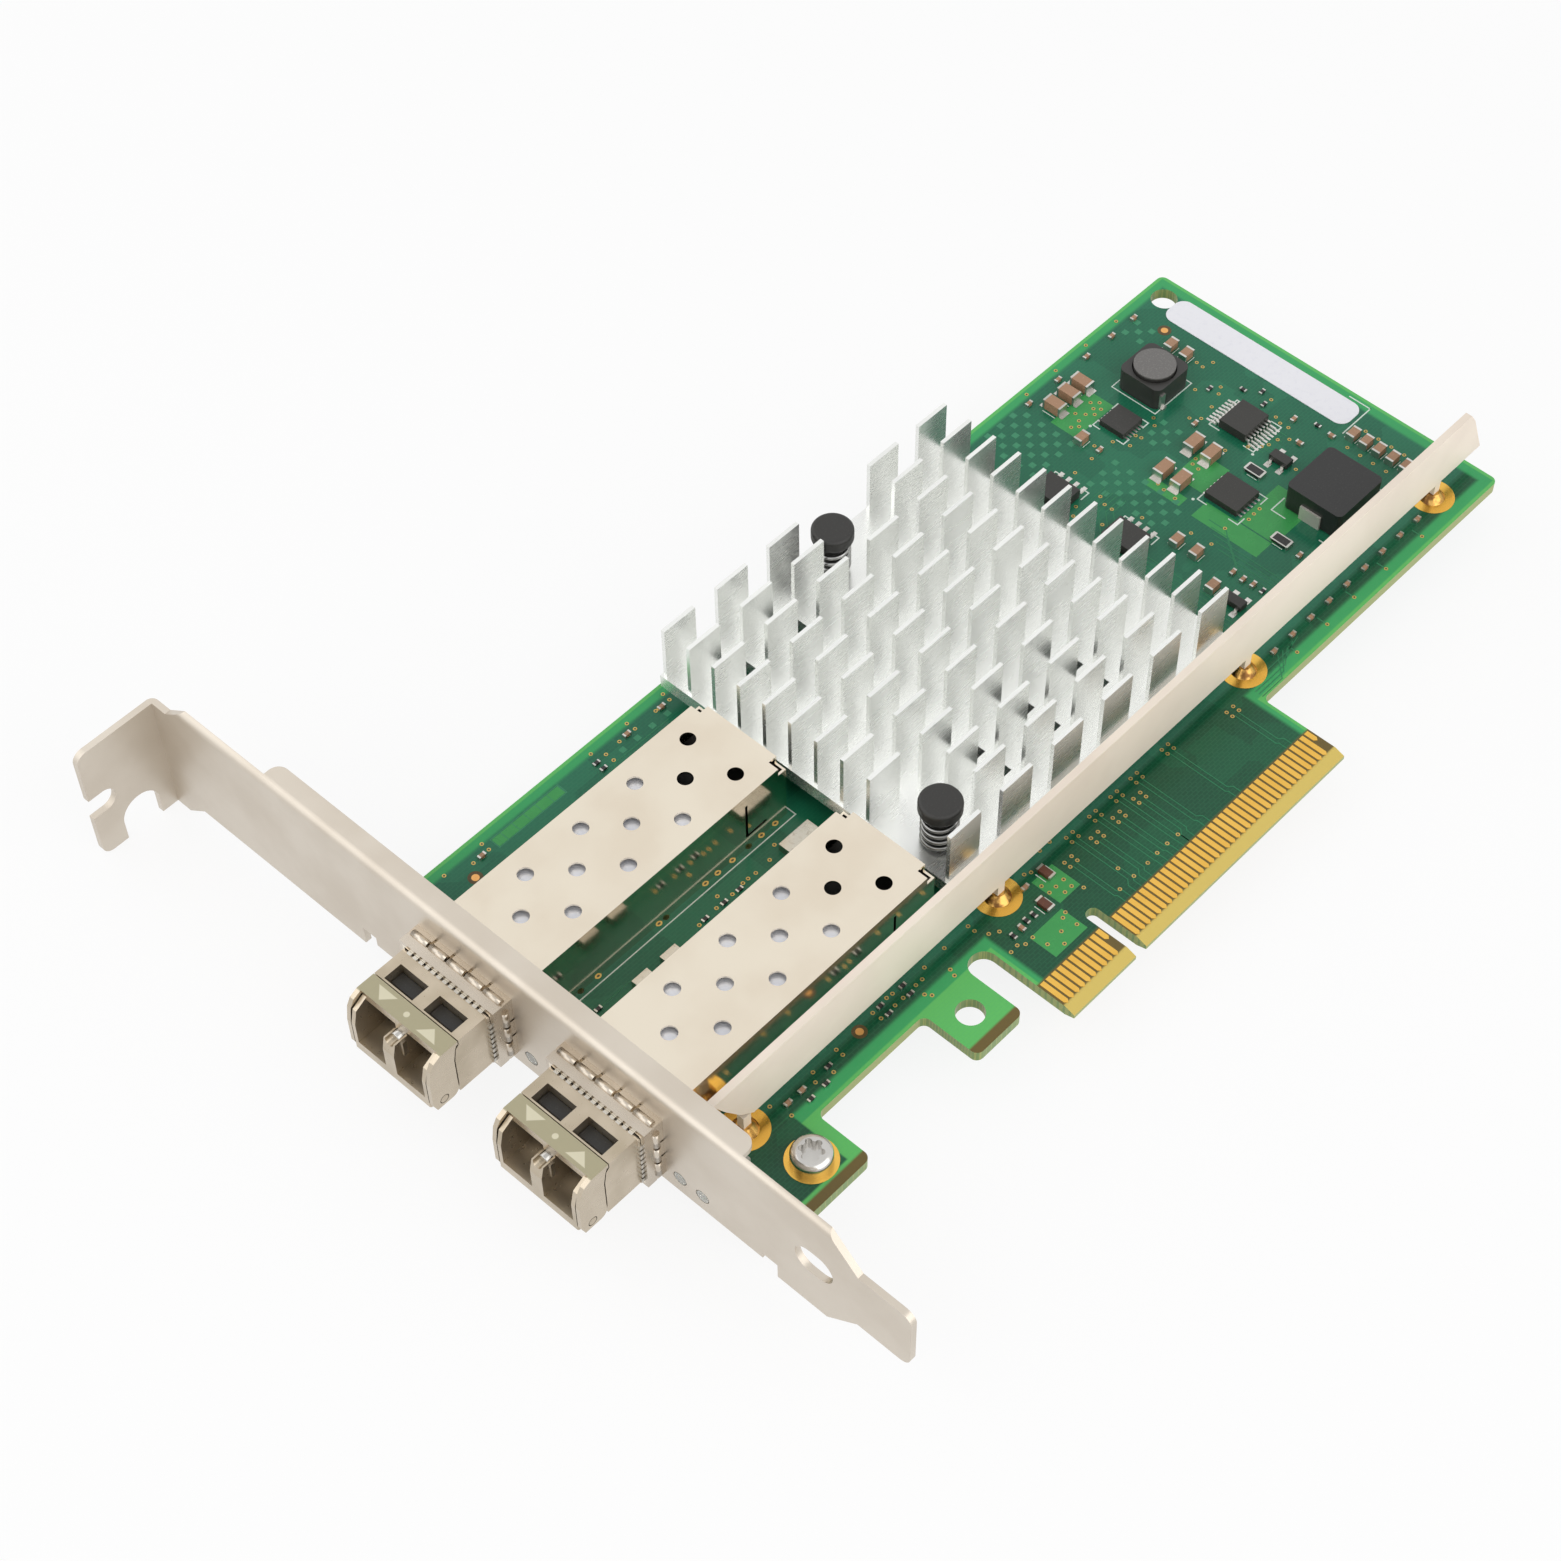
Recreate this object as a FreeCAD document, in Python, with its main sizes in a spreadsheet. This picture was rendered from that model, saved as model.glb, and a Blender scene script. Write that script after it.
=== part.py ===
"""Dual-port network interface card: board, mounting bracket, two optical ports and heat sink.

Frame: millimetres, +Z out of the component side. The origin is the middle of the key notch
(x), the tongue's lower edge (y) and the board's component face (z). +X runs away from the
bracket along the card, +Y from the edge connector to the card's top edge.
"""
import FreeCAD
import Part
import math
import os
import re

import Sketcher

SIZES = {
    # circuit board
    "board_thick": 1.57,
    "board_left": -54.0,
    "board_right": 89.0,
    "board_top": 68.9,
    "board_low": 12.6,
    "tongue_left": -12.15,
    "tongue_right": 39.15,
    "key_half": 0.95,
    "key_depth": 8.2,
    "bevel_run": 1.4,
    "bevel_drop": 0.5,
    "hook_left": -24.0,
    "hook_right": -16.0,
    "hook_low": 4.4,
    "slot_top": 13.9,
    "foot_right": -42.0,
    "corner_round": 1.0,
    "hook_hole_x": -20.1,
    "hook_hole_y": 8.9,
    "hook_hole_radius": 1.8,
    "corner_hole_in": 3.4,
    "corner_hole_radius": 1.85,
    # gold contacts and pads
    "contact_pitch": 1.0,
    "contact_wide": 0.7,
    "contact_first": 1.5,
    "contact_high": 5.5,
    "contact_short": 2.2,
    "plating": 0.04,
    "screw_pad_radius": 3.15,
    "ring_pad_radius": 3.0,
    # mounting bracket
    "bracket_face": -58.36,
    "bracket_thick": 0.86,
    "bracket_low": -4.0,
    "bracket_wide": 18.42,
    "tip_end": -15.8,
    "tip_wide": 10.16,
    "tip_shoulder": -8.3,
    "body_shoulder": -3.9,
    "tab_top": 104.2,
    "tab_reach": 11.43,
    "tab_low": -6.6,
    "tab_high": 12.0,
    "neck_start": 97.8,
    "neck_end": 101.0,
    "screw_slot_wide": 3.4,
    "screw_slot_middle": 2.3,
    "screw_slot_deep": 3.7,
    "tab_notch_radius": 2.7,
    "tab_notch_x": -63.4,
    "tab_notch_z": -3.6,
    "stiff_flange_wide": 3.15,
    "stiff_flange_start": 8.9,
    "stiff_flange_end": 84.2,
    "board_flange_wide": 6.9,
    "board_flange_start": 5.6,
    "board_flange_end": 67.1,
    "relief_wide": 2.2,
    "foot_tab_reach": -42.8,
    "foot_tab_end": 13.5,
    "bend_round": 1.0,
    "bracket_hole_y": -2.0,
    "bracket_hole_z": 5.2,
    "bracket_hole_long": 5.5,
    "bracket_hole_wide": 4.4,
    # bracket screw
    "screw_x": -46.7,
    "screw_y": 9.06,
    "screw_head_radius": 2.5,
    "screw_head_tall": 2.1,
    "screw_radius": 1.25,
    "screw_tip": 3.6,
    "screw_recess": 1.15,
    # ports: cage, collar, connector
    "port_one": 50.85,
    "port_two": 27.6,
    "cage_half": 7.05,
    "cage_tall": 9.8,
    "cage_sheet": 0.3,
    "cage_front": -61.2,
    "cage_rear": -13.4,
    "cage_mouth": -24.5,
    "vent_radius": 1.0,
    "vent_first": -49.6,
    "vent_pitch": 8.87,
    "vent_row": 3.85,
    "leg_first": -48.0,
    "leg_pitch": 14.0,
    "leg_long": 0.9,
    "leg_deep": 2.4,
    "collar_sheet": 0.45,
    "collar_slit": 0.35,
    "collar_finger": 2.9,
    "collar_band": 1.35,
    "socket_half": 5.9,
    "socket_tall": 6.2,
    "socket_front": -23.5,
    "light_radius": 0.9,
    "light_near": 9.6,
    "light_far": 13.0,
    "light_z": 0.3,
    # optical modules
    "module_half": 6.7,
    "module_low": 0.2,
    "head_drop": 0.4,
    "module_high": "=cage_tall - head_drop",
    "head_rear": -61.6,
    "head_front": -70.55,
    "head_step": -66.6,
    "barrel_gap": 0.1,
    "barrel_half": "=cage_half - cage_sheet - barrel_gap",
    "ring_wall": 0.2,
    "barrel_low": 0.45,
    "barrel_drop": 0.55,
    "barrel_high": "=cage_tall - cage_sheet - barrel_drop",
    "barrel_end": -26.0,
    "barrel_wall": 0.75,
    "bay_low": 2.0,
    "bay_roof": 1.5,
    "bay_high": "=module_high - bay_roof",
    "bay_back": -62.4,
    "post_half": 0.9,
    "bay_wall": 1.3,
    "bay_far": "=module_half - bay_wall",
    "window_front": -65.55,
    "window_rear": -63.0,
    "optics_z": 4.9,
    "optics_y": 3.125,
    "sleeve_radius": 1.6,
    "optics_gap": 0.375,
    "optics_radius": "=barrel_half - barrel_wall - optics_y - optics_gap",
    "optics_end": -53.0,
    "module_board_thick": 1.0,
    "module_board_half": 4.7,
    "module_board_end": -17.5,
    "bail_sheet": 0.6,
    "bail_gap": 0.12,
    "bail_plate_rear": -65.9,
    "bail_plate_front": -68.4,
    "pivot_x": -68.9,
    "pivot_z": 1.15,
    "pivot_radius": 0.55,
    # heat sink
    "sink_left": -11.2,
    "sink_right": 40.4,
    "sink_low": 19.8,
    "sink_high": 66.7,
    "sink_bottom": 3.2,
    "sink_plate": 2.0,
    "fin_tall": 8.4,
    "fin_long": 5.3,
    "fin_thick": 0.55,
    "fin_first_x": -10.9,
    "fin_pitch_x": 9.15,
    "fin_first_y": 65.8,
    "fin_pitch_y": 4.12,
    "vent_square": 2.2,
    "chip_middle_x": 4.3,
    "chip_middle_y": 44.15,
    "chip_wide": 25.0,
    "chip_tall": 2.9,
    "chip_base": 1.3,
    "chip_lid": 21.0,
    # push pins
    "pin_a_x": -7.0,
    "pin_a_y": 25.4,
    "pin_b_x": 15.6,
    "pin_b_y": 62.9,
    "pin_shaft": 1.2,
    "pin_cap_radius": 2.7,
    "pin_cap_tall": 2.0,
    "pin_top": 12.8,
    "pin_barb": 1.7,
    "pin_barb_tall": 2.4,
    "pin_gap": 0.3,
    "spring_radius": 2.05,
    "spring_wire": 0.28,
    "spring_turns": 4.5,
    # stiffener rail
    "rail_y": 17.3,
    "rail_thick": 1.0,
    "rail_low": 2.75,
    "rail_high": 11.1,
    "rail_left": -53.9,
    "rail_right": 90.0,
    "rail_tab_long": 1.2,
    "rail_tab_deep": 2.4,
    "rail_tab_one": -48.8,
    "rail_tab_two": -5.6,
    "rail_tab_three": 41.2,
    "rail_tab_four": 80.8,
    "solder_radius": 1.7,
    "solder_tall": 1.1,
    # power parts
    "drum_x": 71.8,
    "drum_y": 56.6,
    "drum_base": 6.9,
    "drum_tall": 4.0,
    "drum_step": 0.6,
    "drum_radius": 2.85,
    "drum_gap": 0.15,
    "drum_flange": 0.9,
    "choke_x": 71.0,
    "choke_y": 26.2,
    "choke_long": 9.4,
    "choke_wide": 8.7,
    "choke_tall": 4.0,
    "choke_clip": 0.3,
    "choke_clip_wide": 3.2,
    # packages
    "lead_thick": 0.2,
    "lead_reach": 1.5,
    "short_reach": 0.8,
    "stand_off": 0.15,
    "end_band": 0.3,
    "row_clear": 4.75,
    "row_aside": 1.1,
    # label
    "label_left": 82.8,
    "label_right": 87.4,
    "label_low": 33.2,
    "label_high": 64.0,
    "label_thick": 0.1,
}

PORTS = ("port_one", "port_two")
PINS = (("pin_a_x", "pin_a_y"), ("pin_b_x", "pin_b_y"))
RAIL_TABS = ("rail_tab_one", "rail_tab_two", "rail_tab_three", "rail_tab_four")

# Chips with legs: middle x, middle y, body along x, body along y, height, legs per side,
# leg pitch, and the axis along which the legs point out.
LEGGED_CHIPS = {
    "driver_chip": [(74.2, 43.2, 5.0, 4.3, 1.5, 8, 0.65, "y")],
    "flash_chips": [(47.6, 53.2, 3.9, 4.9, 1.6, 4, 1.27, "x"), (47.7, 41.6, 3.9, 4.9, 1.6, 4, 1.27, "x")],
    "transistors": [(72.3, 35.5, 1.4, 2.9, 1.0, 2, 1.9, "x"), (48.9, 24.8, 1.4, 2.9, 1.0, 2, 1.9, "x")],
}

# Flat chips without legs: middle x, middle y, side along x, side along y, height.
FLAT_CHIPS = [(63.4, 55.2, 4.0, 4.0, 0.9), (63.1, 36.4, 4.8, 5.2, 1.0)]

# Small sealed blocks beside the cages: middle x, middle y, side along x, side along y, height.
CRYSTALS = [(-15.5, 39.2, 5.0, 3.2, 1.2), (-42.4, 38.9, 2.5, 2.0, 1.2), (-37.8, 38.9, 2.5, 2.0, 1.2)]

# Two-ended parts: length, width and height of each size, then the middle x, middle y and
# direction of every one on the board.
CHIP_SIZES = {
    "large_capacitors": (2.9, 1.6, 1.5),
    "medium_capacitors": (2.0, 1.25, 1.1),
    "small_capacitors": (1.1, 0.55, 0.5),
    "small_resistors": (1.0, 0.5, 0.35),
    "chip_resistors": (2.8, 1.35, 0.55),
    "fuses": (2.2, 1.1, 0.6),
}
CHIP_PLACES = {
    "large_capacitors": [
        (62.4, 63.3, "y"), (65.1, 63.3, "y"), (59.5, 63.3, "y"), (66.6, 45.5, "x"),
        (66.6, 42.6, "x"), (60.3, 45.5, "x"), (60.3, 42.6, "x"),
    ],
    "medium_capacitors": [
        (52.0, 36.6, "x"), (52.1, 33.5, "x"), (78.9, 59.2, "x"), (78.9, 56.6, "x"),
        (82.3, 31.2, "x"), (82.3, 29.1, "x"), (82.3, 27.0, "x"), (82.3, 24.8, "x"),
        (82.3, 22.6, "x"), (57.5, 57.0, "x"), (49.0, 28.4, "x"),
    ],
    "small_capacitors": [
        (57.8, 66.3, "x"), (63.8, 66.3, "x"), (69.7, 66.3, "x"), (75.0, 66.3, "x"), (79.7, 66.3, "x"),
        (57.7, 54.1, "x"), (79.4, 38.8, "x"), (80.4, 33.3, "y"), (76.5, 35.6, "y"), (69.9, 47.9, "x"),
        (60.8, 23.6, "x"), (52.7, 26.4, "x"), (52.9, 24.9, "x"), (52.8, 28.1, "x"),
        (-42.4, 65.9, "x"), (-17.8, 66.2, "x"), (-11.9, 66.1, "x"), (-43.2, 15.9, "x"), (-40.9, 15.9, "x"),
        (-2.6, 15.6, "x"), (-7.3, 12.1, "y"),
    ],
    "small_resistors": [
        (-23.4, 65.8, "x"), (-23.4, 64.6, "x"), (76.3, 50.5, "x"), (79.2, 47.1, "y"), (80.6, 45.0, "x"),
        (78.9, 43.4, "x"), (80.7, 35.8, "y"), (52.9, 23.4, "x"), (-31.2, 40.2, "x"), (-28.0, 40.2, "x"),
        (-25.4, 40.2, "x"), (-48.5, 40.5, "x"), (-38.4, 14.5, "x"), (-41.0, 14.4, "x"), (-36.5, 15.9, "x"),
        (-22.7, 17.0, "x"), (-22.9, 15.6, "x"), (-26.5, 17.0, "x"), (-26.6, 15.6, "x"), (-4.9, 12.3, "y"),
        (-6.1, 12.4, "y"), (-8.8, 12.1, "y"),
    ],
    "chip_resistors": [(68.5, 36.8, "y"), (61.2, 26.8, "y")],
    "fuses": [(0.7, 15.2, "y"), (-2.9, 12.3, "y")],
}

doc = FreeCAD.newDocument("network_interface_card")
sheet = doc.addObject("Spreadsheet::Sheet", "Sizes")
for row, (alias, number) in enumerate(SIZES.items(), start=1):
    sheet.set(f"A{row}", alias)
    sheet.set(f"B{row}", str(number))
    sheet.setAlias(f"B{row}", alias)
doc.recompute()

parts = {}


# ------------------------------------------------------------------ helpers
def linked(text):
    """An expression in which each size's name points at its cell in the sheet."""
    def cell(word):
        return "Sizes." + word[0] if word[0] in SIZES else word[0]
    return re.sub(r"[a-z_]+[a-z_0-9]*", cell, str(text))


def bind(thing, path, text):
    thing.setExpression(path, linked(text))


def value(text):
    """What an expression of sizes comes to, as a plain number."""
    return float(sheet.evalExpression(linked(text)))


def block(x, y, z, name="Block"):
    """A box between two limits on each axis."""
    box = doc.addObject("Part::Box", name)
    for side, axis, (low, high) in (("Length", "x", x), ("Width", "y", y), ("Height", "z", z)):
        bind(box, side, f"({high}) - ({low})")
        bind(box, f"Placement.Base.{axis}", low)
    return box


def rod(axis, middle, radius, span, name="Rod", end_radius=None):
    """A cylinder, or a cone with an end radius, along an axis between two limits."""
    kind = "Part::Cone" if end_radius else "Part::Cylinder"
    thing = doc.addObject(kind, name)
    turn = {"x": FreeCAD.Rotation(FreeCAD.Vector(0, 1, 0), 90),
            "y": FreeCAD.Rotation(FreeCAD.Vector(1, 0, 0), -90),
            "z": FreeCAD.Rotation()}[axis]
    thing.Placement = FreeCAD.Placement(FreeCAD.Vector(), turn)
    if end_radius:
        bind(thing, "Radius1", radius)
        bind(thing, "Radius2", end_radius)
    else:
        bind(thing, "Radius", radius)
    low, high = span
    bind(thing, "Height", f"({high}) - ({low})")
    others = iter(middle)
    for letter in "xyz":
        bind(thing, f"Placement.Base.{letter}", low if letter == axis else next(others))
    return thing


def outline(sketch, corners):
    """A closed run of straight lines; each corner is held by its distances from the origin."""
    count = len(corners)
    ring = [FreeCAD.Vector(50 * math.cos(2 * math.pi * step / count),
                           50 * math.sin(2 * math.pi * step / count), 0) for step in range(count)]
    for step in range(count):
        sketch.addGeometry(Part.LineSegment(ring[step], ring[(step + 1) % count]))
    for step in range(count):
        sketch.addConstraint(Sketcher.Constraint("Coincident", step, 2, (step + 1) % count, 1))
    for step, corner in enumerate(corners):
        for kind, text in zip(("DistanceX", "DistanceY"), corner):
            index = sketch.addConstraint(Sketcher.Constraint(kind, -1, 1, step, 1, 1.0))
            bind(sketch, f"Constraints[{index}]", text)


def circles(sketch, places):
    """Circles given as middle and radius."""
    for step, (across, up, radius) in enumerate(places):
        sketch.addGeometry(Part.Circle(FreeCAD.Vector(5 * step, 0, 0), FreeCAD.Vector(0, 0, 1), 1))
        for kind, text in (("DistanceX", across), ("DistanceY", up)):
            index = sketch.addConstraint(Sketcher.Constraint(kind, -1, 1, step, 3, 1.0))
            bind(sketch, f"Constraints[{index}]", text)
        index = sketch.addConstraint(Sketcher.Constraint("Radius", step, 1.0))
        bind(sketch, f"Constraints[{index}]", radius)


def prism(plane, corners, span, name="Prism"):
    """A straight-sided solid on the XY, XZ or YZ plane between two limits along the third axis."""
    sketch = doc.addObject("Sketcher::SketchObject", name + "Outline")
    axis, turn = {
        "XY": ("z", FreeCAD.Rotation()),
        "XZ": ("y", FreeCAD.Rotation(FreeCAD.Vector(1, 0, 0), 90)),
        "YZ": ("x", FreeCAD.Rotation(FreeCAD.Vector(1, 1, 1), 120)),
    }[plane]
    sketch.Placement = FreeCAD.Placement(FreeCAD.Vector(), turn)
    outline(sketch, corners)
    low, high = span
    bind(sketch, f"Placement.Base.{axis}", low)
    solid = doc.addObject("Part::Extrusion", name)
    solid.Base = sketch
    solid.DirMode = "Custom"
    solid.Dir = {"z": (0, 0, 1), "y": (0, 1, 0), "x": (1, 0, 0)}[axis]
    solid.Solid = True
    bind(solid, "LengthFwd", f"({high}) - ({low})")
    return solid


def fuse(things, name="Fuse"):
    joined = doc.addObject("Part::MultiFuse", name)
    joined.Shapes = list(things)
    joined.Refine = True
    return joined


def group(things, name="Group"):
    """Separate solids kept together as one object."""
    together = doc.addObject("Part::Compound", name)
    together.Links = list(things)
    return together


def cut(base, tools, name="Cut"):
    """The base with each tool taken away; every tool must remove something."""
    result = base
    for tool in tools:
        step = doc.addObject("Part::Cut", name)
        step.Base = result
        step.Tool = tool
        step.Refine = True
        doc.recompute()
        if step.Shape.isNull() or not step.Shape.Volume < result.Shape.Volume - 1e-6:
            raise RuntimeError(f"{tool.Name} takes nothing from {result.Name}")
        result = step
    return result


def straight_edges(shape, axis, places=None, lies=None):
    """Names of the edges along an axis, at given places on the other two axes or by a test."""
    others = [letter for letter in "xyz" if letter != axis]
    found = []
    for index, edge in enumerate(shape.Edges, start=1):
        if edge.Curve.TypeId != "Part::GeomLine":
            continue
        if abs(abs(getattr(edge.tangentAt(edge.FirstParameter), axis)) - 1) > 1e-6:
            continue
        middle = edge.CenterOfMass
        spot = [getattr(middle, letter) for letter in others]
        if places is not None:
            near = [1 for place in places if math.dist(spot, [value(text) for text in place]) < 0.01]
            if not near:
                continue
        if lies is not None and not lies(middle):
            continue
        found.append(index)
    if not found:
        raise RuntimeError(f"no edge along {axis} in this shape")
    return found


def rounded(base, radius, axis, places=None, lies=None, name="Rounded"):
    """The base with chosen straight edges rounded."""
    doc.recompute()
    picked = straight_edges(base.Shape, axis, places, lies)
    fillet = doc.addObject("Part::Fillet", name)
    fillet.Base = base
    amount = value(radius)
    fillet.Edges = [(index, amount, amount) for index in picked]
    doc.recompute()
    return fillet


def soft_rims(base, radius, heights, name="SoftRims"):
    """The base with its round edges at the given heights rounded off."""
    doc.recompute()
    levels = [value(height) for height in heights]
    fillet = doc.addObject("Part::Fillet", name)
    fillet.Base = base
    amount = value(radius)
    fillet.Edges = [(index, amount, amount) for index, edge in enumerate(base.Shape.Edges, start=1)
                    if edge.Curve.TypeId == "Part::GeomCircle"
                    and min(abs(edge.CenterOfMass.z - level) for level in levels) < 0.01]
    doc.recompute()
    return fillet


def body_sketch(body, plane, offset, name):
    """A sketch on one of the body's own planes, moved out along its normal."""
    planes = {feature.Role: feature for feature in body.Origin.OriginFeatures}
    sketch = body.newObject("Sketcher::SketchObject", name)
    sketch.AttachmentSupport = [(planes[plane + "_Plane"], "")]
    sketch.MapMode = "FlatFace"
    bind(sketch, "AttachmentOffset.Base.z", offset)
    return sketch


def pad(body, plane, offset, corners, length, name):
    sketch = body_sketch(body, plane, offset, name + "Outline")
    outline(sketch, corners)
    feature = body.newObject("PartDesign::Pad", name)
    feature.Profile = sketch
    bind(feature, "Length", length)
    doc.recompute()
    return feature


def pocket(body, plane, offset, length, name, corners=None, places=None):
    """A pocket cut against the plane's normal; it must take material away."""
    before = body.Shape.Volume
    sketch = body_sketch(body, plane, offset, name + "Outline")
    if corners:
        outline(sketch, corners)
    else:
        circles(sketch, places)
    feature = body.newObject("PartDesign::Pocket", name)
    feature.Profile = sketch
    bind(feature, "Length", length)
    doc.recompute()
    if not body.Shape.Volume < before - 1e-6:
        raise RuntimeError(f"pocket {name} takes nothing from {body.Name}")
    return feature


def body_fillet(body, radius, name, axis, places=None, lies=None):
    picked = straight_edges(body.Shape, axis, places, lies)
    base = body.Tip
    feature = body.newObject("PartDesign::Fillet", name)
    feature.Base = (base, [f"Edge{index}" for index in picked])
    bind(feature, "Radius", radius)
    doc.recompute()
    return feature


def keep(node, thing):
    """Names a finished sub-part; the name is its file's name too."""
    thing.Label = node
    parts[node] = thing
    return thing


def field(node, solids):
    """Many small solids of one kind, set as one feature."""
    feature = doc.addObject("Part::Feature", node)
    feature.Shape = Part.makeCompound(solids)
    feature.Placement = FreeCAD.Placement()
    return keep(node, feature)


def box_between(low, high):
    return Part.makeBox(high[0] - low[0], high[1] - low[1], high[2] - low[2], FreeCAD.Vector(*low))


# ------------------------------------------------------------------ circuit board
LEG_PLACES = [(f"leg_first + {step} * leg_pitch", f"{port} {side} (cage_half - cage_sheet / 2)")
              for port in PORTS for side in "+-" for step in range(3)]


def make_board():
    body = doc.addObject("PartDesign::Body", "CircuitBoard")
    corners = [
        ("board_left", "hook_low"), ("foot_right", "hook_low"), ("foot_right", "board_low"),
        ("hook_left", "board_low"), ("hook_left", "hook_low"), ("hook_right", "hook_low"),
        ("hook_right", "slot_top"), ("tongue_left", "slot_top"), ("tongue_left", "0"),
        ("tongue_right", "0"), ("tongue_right", "board_low"), ("board_right", "board_low"),
        ("board_right", "board_top"), ("board_left", "board_top"),
    ]
    pad(body, "XY", "-board_thick", corners, "board_thick", "BoardPlate")
    pocket(body, "XY", "board_thick", "3 * board_thick", "KeyNotch", corners=[
        ("-key_half", "-1"), ("key_half", "-1"), ("key_half", "key_depth"), ("-key_half", "key_depth")])
    for name, face, away in (("TopBevel", "0", "board_thick"),
                             ("UnderBevel", "-board_thick", "-2 * board_thick")):
        sign = "-" if face == "0" else "+"
        pocket(body, "YZ", "board_right", "board_right - board_left", name, corners=[
            ("bevel_run", face), ("0", f"{face} {sign} bevel_drop"), ("-1", f"{face} {sign} bevel_drop"),
            ("-1", away), ("bevel_run", away)])
    holes = [
        ("hook_hole_x", "hook_hole_y", "hook_hole_radius"),
        ("board_right - corner_hole_in", "board_top - corner_hole_in + 0.25", "corner_hole_radius"),
        ("screw_x", "screw_y", "screw_radius + 0.15"),
    ]
    holes += [(x, y, "pin_shaft + 0.2") for x, y in PINS]
    holes += [(x, "rail_y", "rail_tab_long * 0.7") for x in RAIL_TABS]
    holes += [(x, y, "leg_long * 0.55") for x, y in LEG_PLACES]
    pocket(body, "XY", "1", "2 * board_thick + 1", "BoardHoles", places=holes)
    body_fillet(body, "key_half * 0.95", "KeyRound", "z",
                places=[("-key_half", "key_depth"), ("key_half", "key_depth")])
    body_fillet(body, "(tongue_left - hook_right) * 0.48", "SlotRound", "z",
                places=[("hook_right", "slot_top"), ("tongue_left", "slot_top")])
    body_fillet(body, "corner_round", "BoardCorners", "z", places=[
        ("foot_right", "hook_low"), ("foot_right", "board_low"), ("hook_left", "board_low"),
        ("hook_left", "hook_low"), ("hook_right", "hook_low"), ("tongue_right", "board_low"),
        ("board_right", "board_low"), ("board_right", "board_top")])
    keep("circuit_board", body)


def make_contacts():
    """Gold fingers on both faces of the tongue, and the gold rings around the fixing holes."""
    wide, high, foil = value("contact_wide"), value("contact_high"), value("plating")
    low, short, thick = value("bevel_run + 0.1"), value("contact_short"), value("board_thick")
    pitch, first = value("contact_pitch"), value("contact_first")
    left, right = value("tongue_left"), value("tongue_right")
    places = [-first - pitch * step for step in range(int((-first - left) / pitch) + 1)]
    places += [first + pitch * step for step in range(int((right - first) / pitch) + 1)]
    sense = {places[0], places[-1]}
    fingers = []
    for x in places:
        for top, tall in ((foil, high), (-thick, high)):
            start = low + (short if x in sense else 0)
            tip = wide / 2
            shape = Part.makePolygon([FreeCAD.Vector(x + across, up, top - foil) for across, up in (
                (-tip, start + tip), (0, start), (tip, start + tip), (tip, tall), (-tip, tall),
                (-tip, start + tip))])
            fingers.append(Part.Face(shape).extrude(FreeCAD.Vector(0, 0, foil)))
    field("edge_contacts", fingers)
    rings = []
    for middle, outer, inner in [(("screw_x", "screw_y"), "screw_pad_radius", "screw_radius + 0.15")] + [
            ((x, "rail_y"), "ring_pad_radius", "rail_tab_long * 0.7") for x in RAIL_TABS]:
        disc = rod("z", middle, outer, ("0", "plating"))
        rings.append(cut(disc, [rod("z", middle, inner, ("-1", "1"))], "Ring"))
    keep("gold_pads", group(rings))


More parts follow.
